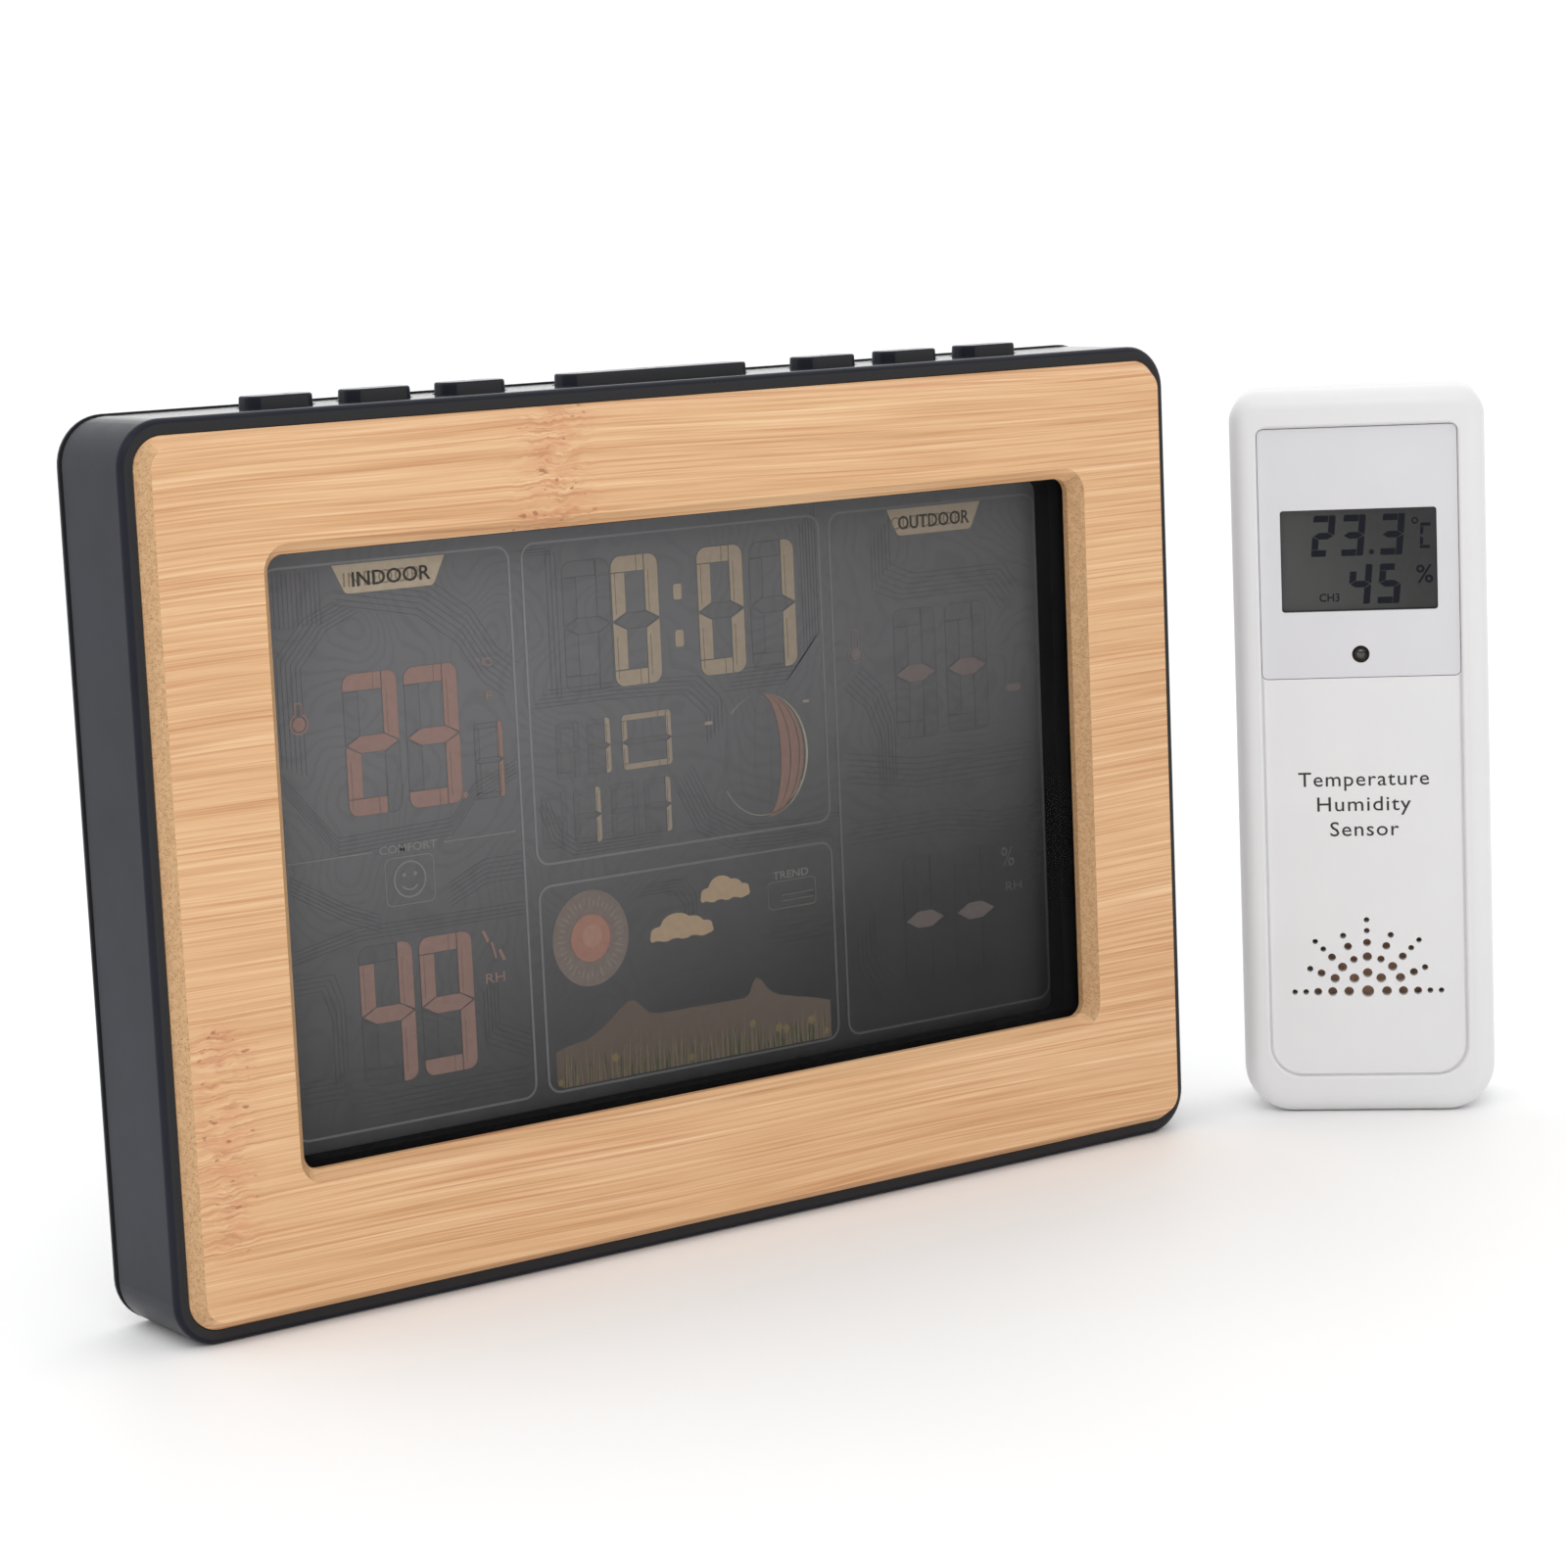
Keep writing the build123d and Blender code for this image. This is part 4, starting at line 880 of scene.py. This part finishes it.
def display_forecast():
    sun = (-17.8, -17.0)
    ring = display_ink("sun_ring", (0.23, 0.19, 0.17), 0.3)
    core = display_ink("sun_core", (0.40, 0.215, 0.17), 0.3, 0.01)
    heart = display_ink("sun_heart", (0.44, 0.26, 0.20), 0.3, 0.01)
    band = (circle(*sun, 6.6, 1.08), circle(*sun, 3.5, 1.03))
    display.ink("display_sun", ring, rings=[band], **LINE_LAYER)
    display.ink("display_sun_core", core, [circle(*sun, 3.45, 1.03)], **SEGMENT_LAYER)
    display.ink("display_sun_heart", heart, [circle(sun[0] + 0.2, sun[1] + 0.3, 1.7)], low=0.06, high=0.075)
    rays = []
    for i in range(40):
        angle = math.radians(9.0 * i)
        ends = [4.4 + 0.4 * (i % 2), 5.4 + 0.5 * (i % 3) / 2]
        ray = [(sun[0] + r * math.cos(angle), sun[1] + 1.05 * r * math.sin(angle)) for r in ends]
        rays += stroke(ray, 0.16)
    pale = display_ink("sun_rays", (0.30, 0.26, 0.22), 0.3)
    display.ink("display_sun_rays", pale, rays, low=0.05, high=0.06)

    tan = display_ink("cloud_tan", (0.48, 0.36, 0.24), 0.3, 0.01)
    clouds = [cloud(1.8, -14.6, 9.0, 3.7), cloud(-7.5, -19.3, 11.4, 3.9)]
    display.ink("display_clouds", tan, clouds, **SEGMENT_LAYER)
    box = display_ink("trend_box", (0.17, 0.18, 0.15), 0.3)
    bars = [rounded(16.6, v, 22.4, v + 0.18, 0.08) for v in (-15.5, -16.4)]
    frame_line = (rounded(14.0, -17.5, 23.0, -13.2, 0.8), rounded(14.15, -17.35, 22.85, -13.35, 0.7))
    display.ink("display_trend", box, bars, [frame_line], **LINE_LAYER)

    soil = display_ink("hill_soil", (0.155, 0.12, 0.10), 0.2)
    foot = circle(-23.6, -37.2, 1.2, count=6, start=180.0, sweep=90.0) + [(24.8, -38.5)]
    display.ink("display_hills", soil, [HILL_CREST[::-1] + foot], **LINE_LAYER)
    draw_grass()


# layers of grass blades: name, colour, shortest and tallest blade
GRASS = [
    ("moss", (0.06, 0.08, 0.045), 1.4, 3.6), ("green", (0.075, 0.105, 0.05), 2.0, 5.0),
    ("olive", (0.14, 0.125, 0.065), 1.6, 4.4), ("hay", (0.19, 0.155, 0.10), 2.6, 5.6),
    ("straw", (0.21, 0.17, 0.125), 3.2, 6.8),
]


def draw_grass():
    """Seeded blades along the foot of the hills, each rooted in a slot of its own along its layer, and placed
    flowers.
    """
    chance = random.Random(11)
    count = 46
    root = -38.45
    for level, (kind, tone, shortest, tallest) in enumerate(GRASS):
        blades = []
        for i in range(count):
            u = -24.0 + 48.0 * (i + chance.uniform(0.2, 0.8)) / count
            high = chance.uniform(shortest, tallest)
            lean = chance.uniform(-0.5, 0.5)
            half = chance.uniform(0.1, 0.2)
            blades.append([
                (u - half, root), (u + half, root), (u + lean * 0.4 + half * 0.6, root + high * 0.55),
                (u + lean, root + high), (u + lean * 0.4 - half * 0.6, root + high * 0.55),
            ])
        low = 0.05 + 0.006 * level
        ink = display_ink("grass_" + kind, tone, 0.2)
        display.ink("display_grass_" + kind, ink, blades, low=low, high=low + 0.006)
    flowers = [(-24.2, -37.6, 0.6), (-14.6, -35.4, 0.8), (-1.1, -37.5, 0.6), (10.2, -34.2, 0.7),
               (15.0, -35.6, 0.8), (16.4, -35.9, 0.7), (21.1, -35.3, 0.8), (23.9, -37.4, 0.6)]
    petals = display_ink("flower_yellow", (0.25, 0.19, 0.09), 0.2)
    shapes = []
    for u, v, radius in flowers:
        angles = [2 * math.pi * i / 20 for i in range(20)]
        shapes.append([
            (u + radius * (0.8 + 0.2 * math.cos(5 * a)) * math.cos(a),
             v + radius * (0.8 + 0.2 * math.cos(5 * a)) * math.sin(a)) for a in angles
        ])
    display.ink("display_flowers", petals, shapes, low=0.08, high=0.09)


# bundles of fine electrode lines: (route of the first line, how many, step to the next)
TRACKS = [
    ([(-67.0, 33.0), (-67.0, 40.6)], 12, (0.72, 0.0)),
    ([(-66.5, 14.0), (-66.5, 29.0), (-62.0, 34.0), (-57.0, 36.0)], 6, (0.75, -0.35)),
    ([(-57.0, 35.6), (-44.0, 33.0), (-37.6, 28.4), (-33.8, 22.6), (-30.4, 20.0)], 7, (0.45, 0.75)),
    ([(-66.5, -1.4), (-58.0, -6.4), (-52.6, -8.6)], 5, (0.0, -0.62)),
    ([(-66.5, 12.6), (-61.0, 6.0), (-58.4, 3.0), (-40.0, 3.6), (-36.0, 8.0), (-29.0, 10.6)], 5, (0.0, -0.6)),
    ([(-41.0, -5.6), (-35.0, -3.0), (-28.8, -3.0)], 6, (0.0, -0.7)),
    ([(-66.5, -12.0), (-56.0, -10.0), (-28.8, -10.0)], 4, (0.0, -0.6)),
    ([(-66.5, -16.0), (-60.4, -16.0), (-59.0, -20.0), (-59.0, -30.0)], 4, (-0.7, -0.7)),
    ([(-66.5, -30.6), (-60.0, -30.6), (-57.5, -34.2), (-30.0, -34.2)], 5, (0.0, -0.8)),
    ([(-36.4, -22.0), (-36.4, -29.6), (-29.0, -33.0)], 5, (0.6, 0.6)),
    ([(-26.0, 17.6), (-12.0, 17.6), (0.5, 17.0), (4.4, 13.4), (4.4, 9.0)], 5, (0.7, 0.6)),
    ([(-25.4, 39.6), (-20.6, 39.6), (-20.6, 18.6)], 3, (-0.8, 0.4)),
    ([(22.8, 40.0), (22.8, 20.6), (19.0, 16.6), (8.0, 16.6)], 6, (0.55, 0.6)),
    ([(25.4, -7.4), (17.0, -7.6), (8.0, -7.2), (2.0, -3.8), (-1.6, 3.0)], 7, (0.5, 0.55)),
    ([(-25.4, 3.0), (-23.6, -2.0), (-20.0, -4.4), (-6.0, -4.4)], 4, (0.5, 0.5)),
    ([(-9.6, -12.0), (-3.0, -12.0), (-1.0, -14.6), (-1.0, -17.4)], 4, (0.7, 0.5)),
    ([(14.0, -19.4), (24.6, -19.4)], 5, (0.0, -0.8)),
    ([(36.0, 36.0), (36.0, 29.0), (40.5, 27.2), (58.0, 27.2), (60.6, 24.0)], 6, (0.7, 0.75)),
    ([(30.0, 14.6), (34.0, 11.0), (36.0, 6.0), (36.0, -3.0)], 6, (0.65, 0.6)),
    ([(30.0, 4.6), (43.0, 2.4), (66.0, 2.4)], 6, (0.0, -0.9)),
    ([(30.0, -9.4), (48.0, -9.4), (58.0, -11.0), (66.0, -11.0)], 5, (0.0, 0.8)),
    ([(30.6, -24.0), (30.6, -29.0), (34.0, -34.6), (66.0, -34.6)], 5, (0.8, 0.8)),
]


def display_hidden(groups, moon_shade):
    """Segments that are off, the painted shadows of those that are on, and the electrode tracks."""
    off = [shape for digits in groups for shape in digits.off]
    display.ink("display_unlit", ground_under_painted_reflection("unlit_segments", 0.96), off + moon_shade, low=0.005, high=0.015)
    lines = [quad for digits in groups for quad in outlines_of(digits.off + digits.lit, digits.edge)]
    for points, count, (du, dv) in TRACKS:
        for i in range(count):
            lines += stroke([(u + du * i, v + dv * i) for u, v in points], 0.12)
    display.ink("display_tracks", ground_under_painted_reflection("electrode_tracks", 0.72), lines, low=0.002, high=0.018)
    # painted shadows of the lit segments, in a darker tan
    painted_shadow = display_ink("segment_painted_shadow", (0.20, 0.15, 0.12), 0.5)
    painted_shadows = [quad for digits in groups for quad in digits.painted_shadow]
    display.ink("display_segment_painted_shadow", painted_shadow, painted_shadows, low=0.06, high=0.07)


def draw_display():
    display_frames()
    display_tags()
    groups = [display_time(), display_date(), display_indoor(), display_outdoor()]
    display_hidden(groups, display_moon())
    display_comfort()
    display_forecast()


draw_display()


# ------------------------------------------------------------------ button marks
def button_sheet(node):
    low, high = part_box(node)
    u0 = (low[0] + high[0]) / 2 / MM
    v0 = (low[1] + high[1]) / 2 / MM
    top = high[2] / MM
    return Sheet(lambda u, v, w: Vector((u0 + u, v0 + v, top + w)) * MM, node, "charcoal_case")


def arrow(direction):
    """A triangle that points along v, up (1) or down (-1)."""
    return [(-1.1, -0.75 * direction), (1.1, -0.75 * direction), (0.0, 1.05 * direction)]


def button_marks():
    ink = display_ink("button_ink", (0.72, 0.72, 0.72))
    bell = circle(0.0, 0.2, 0.95, count=12, start=0.0, sweep=180.0)
    bell += [(-1.0, -0.7), (-1.4, -1.1), (1.4, -1.1), (1.0, -0.7)]
    gear = []
    for i in range(32):
        radius = 1.35 if (i // 2) % 2 else 1.0
        angle = 2 * math.pi * i / 32
        gear.append((radius * math.cos(angle), radius * math.sin(angle)))
    waves = []
    for radius in (0.8, 1.35, 1.9):
        waves += stroke(circle(-0.9, -0.8, radius, count=8, start=0.0, sweep=90.0), 0.26)
    rays = []
    for i in range(8):
        angle = math.radians(45.0 * i)
        rays += stroke([(r * math.cos(angle), r * math.sin(angle)) for r in (1.15, 1.65)], 0.24)
    bars = [rounded(-1.5 + i, -1.1, -0.9 + i, -0.4 + 0.55 * i, 0.12) for i in range(4)]
    marks = {
        "button_left_outer": ([bell, circle(0.0, -1.45, 0.28, count=12)], []),
        "button_left_middle": ([arrow(-1)], []),
        "button_left_inner": ([arrow(1)], []),
        "button_snooze": ([circle(0.0, 0.0, 0.75, count=20)] + rays, []),
        "button_right_inner": ([], [(gear, circle(0.0, 0.0, 0.5, count=32))]),
        "button_right_middle": (bars, []),
        "button_right_outer": ([circle(-0.9, -0.8, 0.3, count=16)] + waves, []),
    }
    for node, (outlines, rings) in marks.items():
        button_sheet(node).ink(node + "_mark", ink, outlines, rings, low=-0.01, high=0.03)


button_marks()


# ------------------------------------------------------------------ sensor artwork
SENSOR_PANEL_SUNK = 0.6
SENSOR_HOME = Vector(mounts["sensor_base"]["pos_m"])
SENSOR_RIGHT = Vector(joints["channel_slide"]["axis"])
SENSOR_BACK = Vector(mounts["sensor_keyhole"]["axis"])


def sensor_face(node):
    """How far in front of the sensor's middle the node's foremost point is, in mm."""
    points = [Vector(vert.co) for vert in frame["nodes"][node].data.vertices]
    return max((SENSOR_HOME - point).dot(SENSOR_BACK) for point in points) / MM


def sensor_sheet(depth, slot):
    def place(u, v, w):
        return SENSOR_HOME + (SENSOR_RIGHT * u - SENSOR_BACK * (depth + w) + Vector((0, 0, v))) * MM
    return Sheet(place, "sensor", slot)


def sensor_artwork():
    dark = display_ink("sensor_segments", (0.003, 0.004, 0.010))
    lcd = sensor_sheet(sensor_face("sensor_lcd"), "sensor_glass")
    lit = []
    for text, u, v, width, height in (
        ("2", -7.6, 97.8, 3.5, 6.6), ("3", -2.8, 97.8, 3.5, 6.6), ("3", 3.4, 97.8, 3.5, 6.6),
        ("4", -1.9, 89.8, 3.5, 6.4), ("5", 2.8, 89.8, 3.5, 6.4),
    ):
        lit += digit(SEGMENTS[text], u, v, width, height, 1.05, gap=0.09, corner=0.3, lean=0.09)
    lit.append(circle(2.05, 91.75, 0.4, count=20))
    rings = [(circle(9.0, 96.6, 0.55, count=24), circle(9.0, 96.6, 0.3, count=24))]
    c_bars = digit("afed", 9.7, 96.2, 2.2, 4.1, 0.5, gap=0.12, corner=0.15, lean=0.04)
    lcd.ink("sensor_reading", dark, lit + c_bars, rings, low=0.01, high=0.04)
    letters = [("%", 10.4, 88.1, 3.0, 2.7), ("CH3", -4.8, 84.6, 1.35, 3.2)]
    lcd.write("sensor_reading_letters", dark, letters, low=0.01, high=0.04, weight=0.01)
    grey = display_ink("sensor_letters", (0.045, 0.044, 0.043))
    panel = sensor_sheet(sensor_face("sensor_front_shell") - SENSOR_PANEL_SUNK, "white_case")
    panel.write("sensor_words", grey, [
        ("Temperature", 0.0, 55.3, 2.45, 20.9), ("Humidity", 0.0, 51.2, 2.45, 15.0),
        ("Sensor", 0.0, 47.1, 2.45, 11.0),
    ], low=-0.01, high=0.02, spacing=1.1, weight=0.004)


sensor_artwork()


# ------------------------------------------------------------------ studio
def area_light(name, place, aim, size, watts, colour=(1.0, 1.0, 1.0)):
    data = bpy.data.lights.new(name, "AREA")
    data.shape = "RECTANGLE"
    data.size, data.size_y = size
    data.energy = watts
    data.color = colour
    lamp = bpy.data.objects.new(name, data)
    lamp.location = place
    lamp.rotation_euler = (Vector(aim) - Vector(place)).to_track_quat("-Z", "Y").to_euler()
    bpy.context.collection.objects.link(lamp)


def studio():
    mesh = bmesh.new()
    bmesh.ops.create_grid(mesh, x_segments=8, y_segments=8, size=4.0)
    data = bpy.data.meshes.new("floor")
    mesh.to_mesh(data)
    mesh.free()
    floor = bpy.data.objects.new("floor", data)
    bpy.context.collection.objects.link(floor)
    data.materials.append(floor_paint().material)
    world = bpy.data.worlds.new("studio")
    bpy.context.scene.world = world
    world.use_nodes = True
    tree = world.node_tree
    sky = tree.nodes["Background"]
    sky.inputs["Color"].default_value = (1.0, 1.0, 1.0, 1.0)
    towards = tree.nodes.new("ShaderNodeTexCoord").outputs["Generated"]
    lean = tree.nodes.new("ShaderNodeVectorMath")
    lean.operation = "DOT_PRODUCT"
    lean.inputs[1].default_value = (0.0, 0.8, 0.6)
    spread = tree.nodes.new("ShaderNodeMapRange")
    spread.inputs["From Min"].default_value = -0.7
    spread.inputs["From Max"].default_value = 0.5
    spread.inputs["To Min"].default_value = 0.46
    spread.inputs["To Max"].default_value = 1.2
    tree.links.new(towards, lean.inputs[0])
    tree.links.new(lean.outputs["Value"], spread.inputs["Value"])
    tree.links.new(spread.outputs["Result"], sky.inputs["Strength"])
    area_light("key", (-0.9, -1.2, 1.3), (0.0, 0.0, 0.06), (1.4, 1.0), 6.5)
    area_light("fill", (1.2, -1.3, 0.7), (0.05, 0.0, 0.06), (1.2, 1.0), 1.0)
    view = bpy.context.scene.view_settings
    view.view_transform = "Standard"
    view.look = "None"


studio()
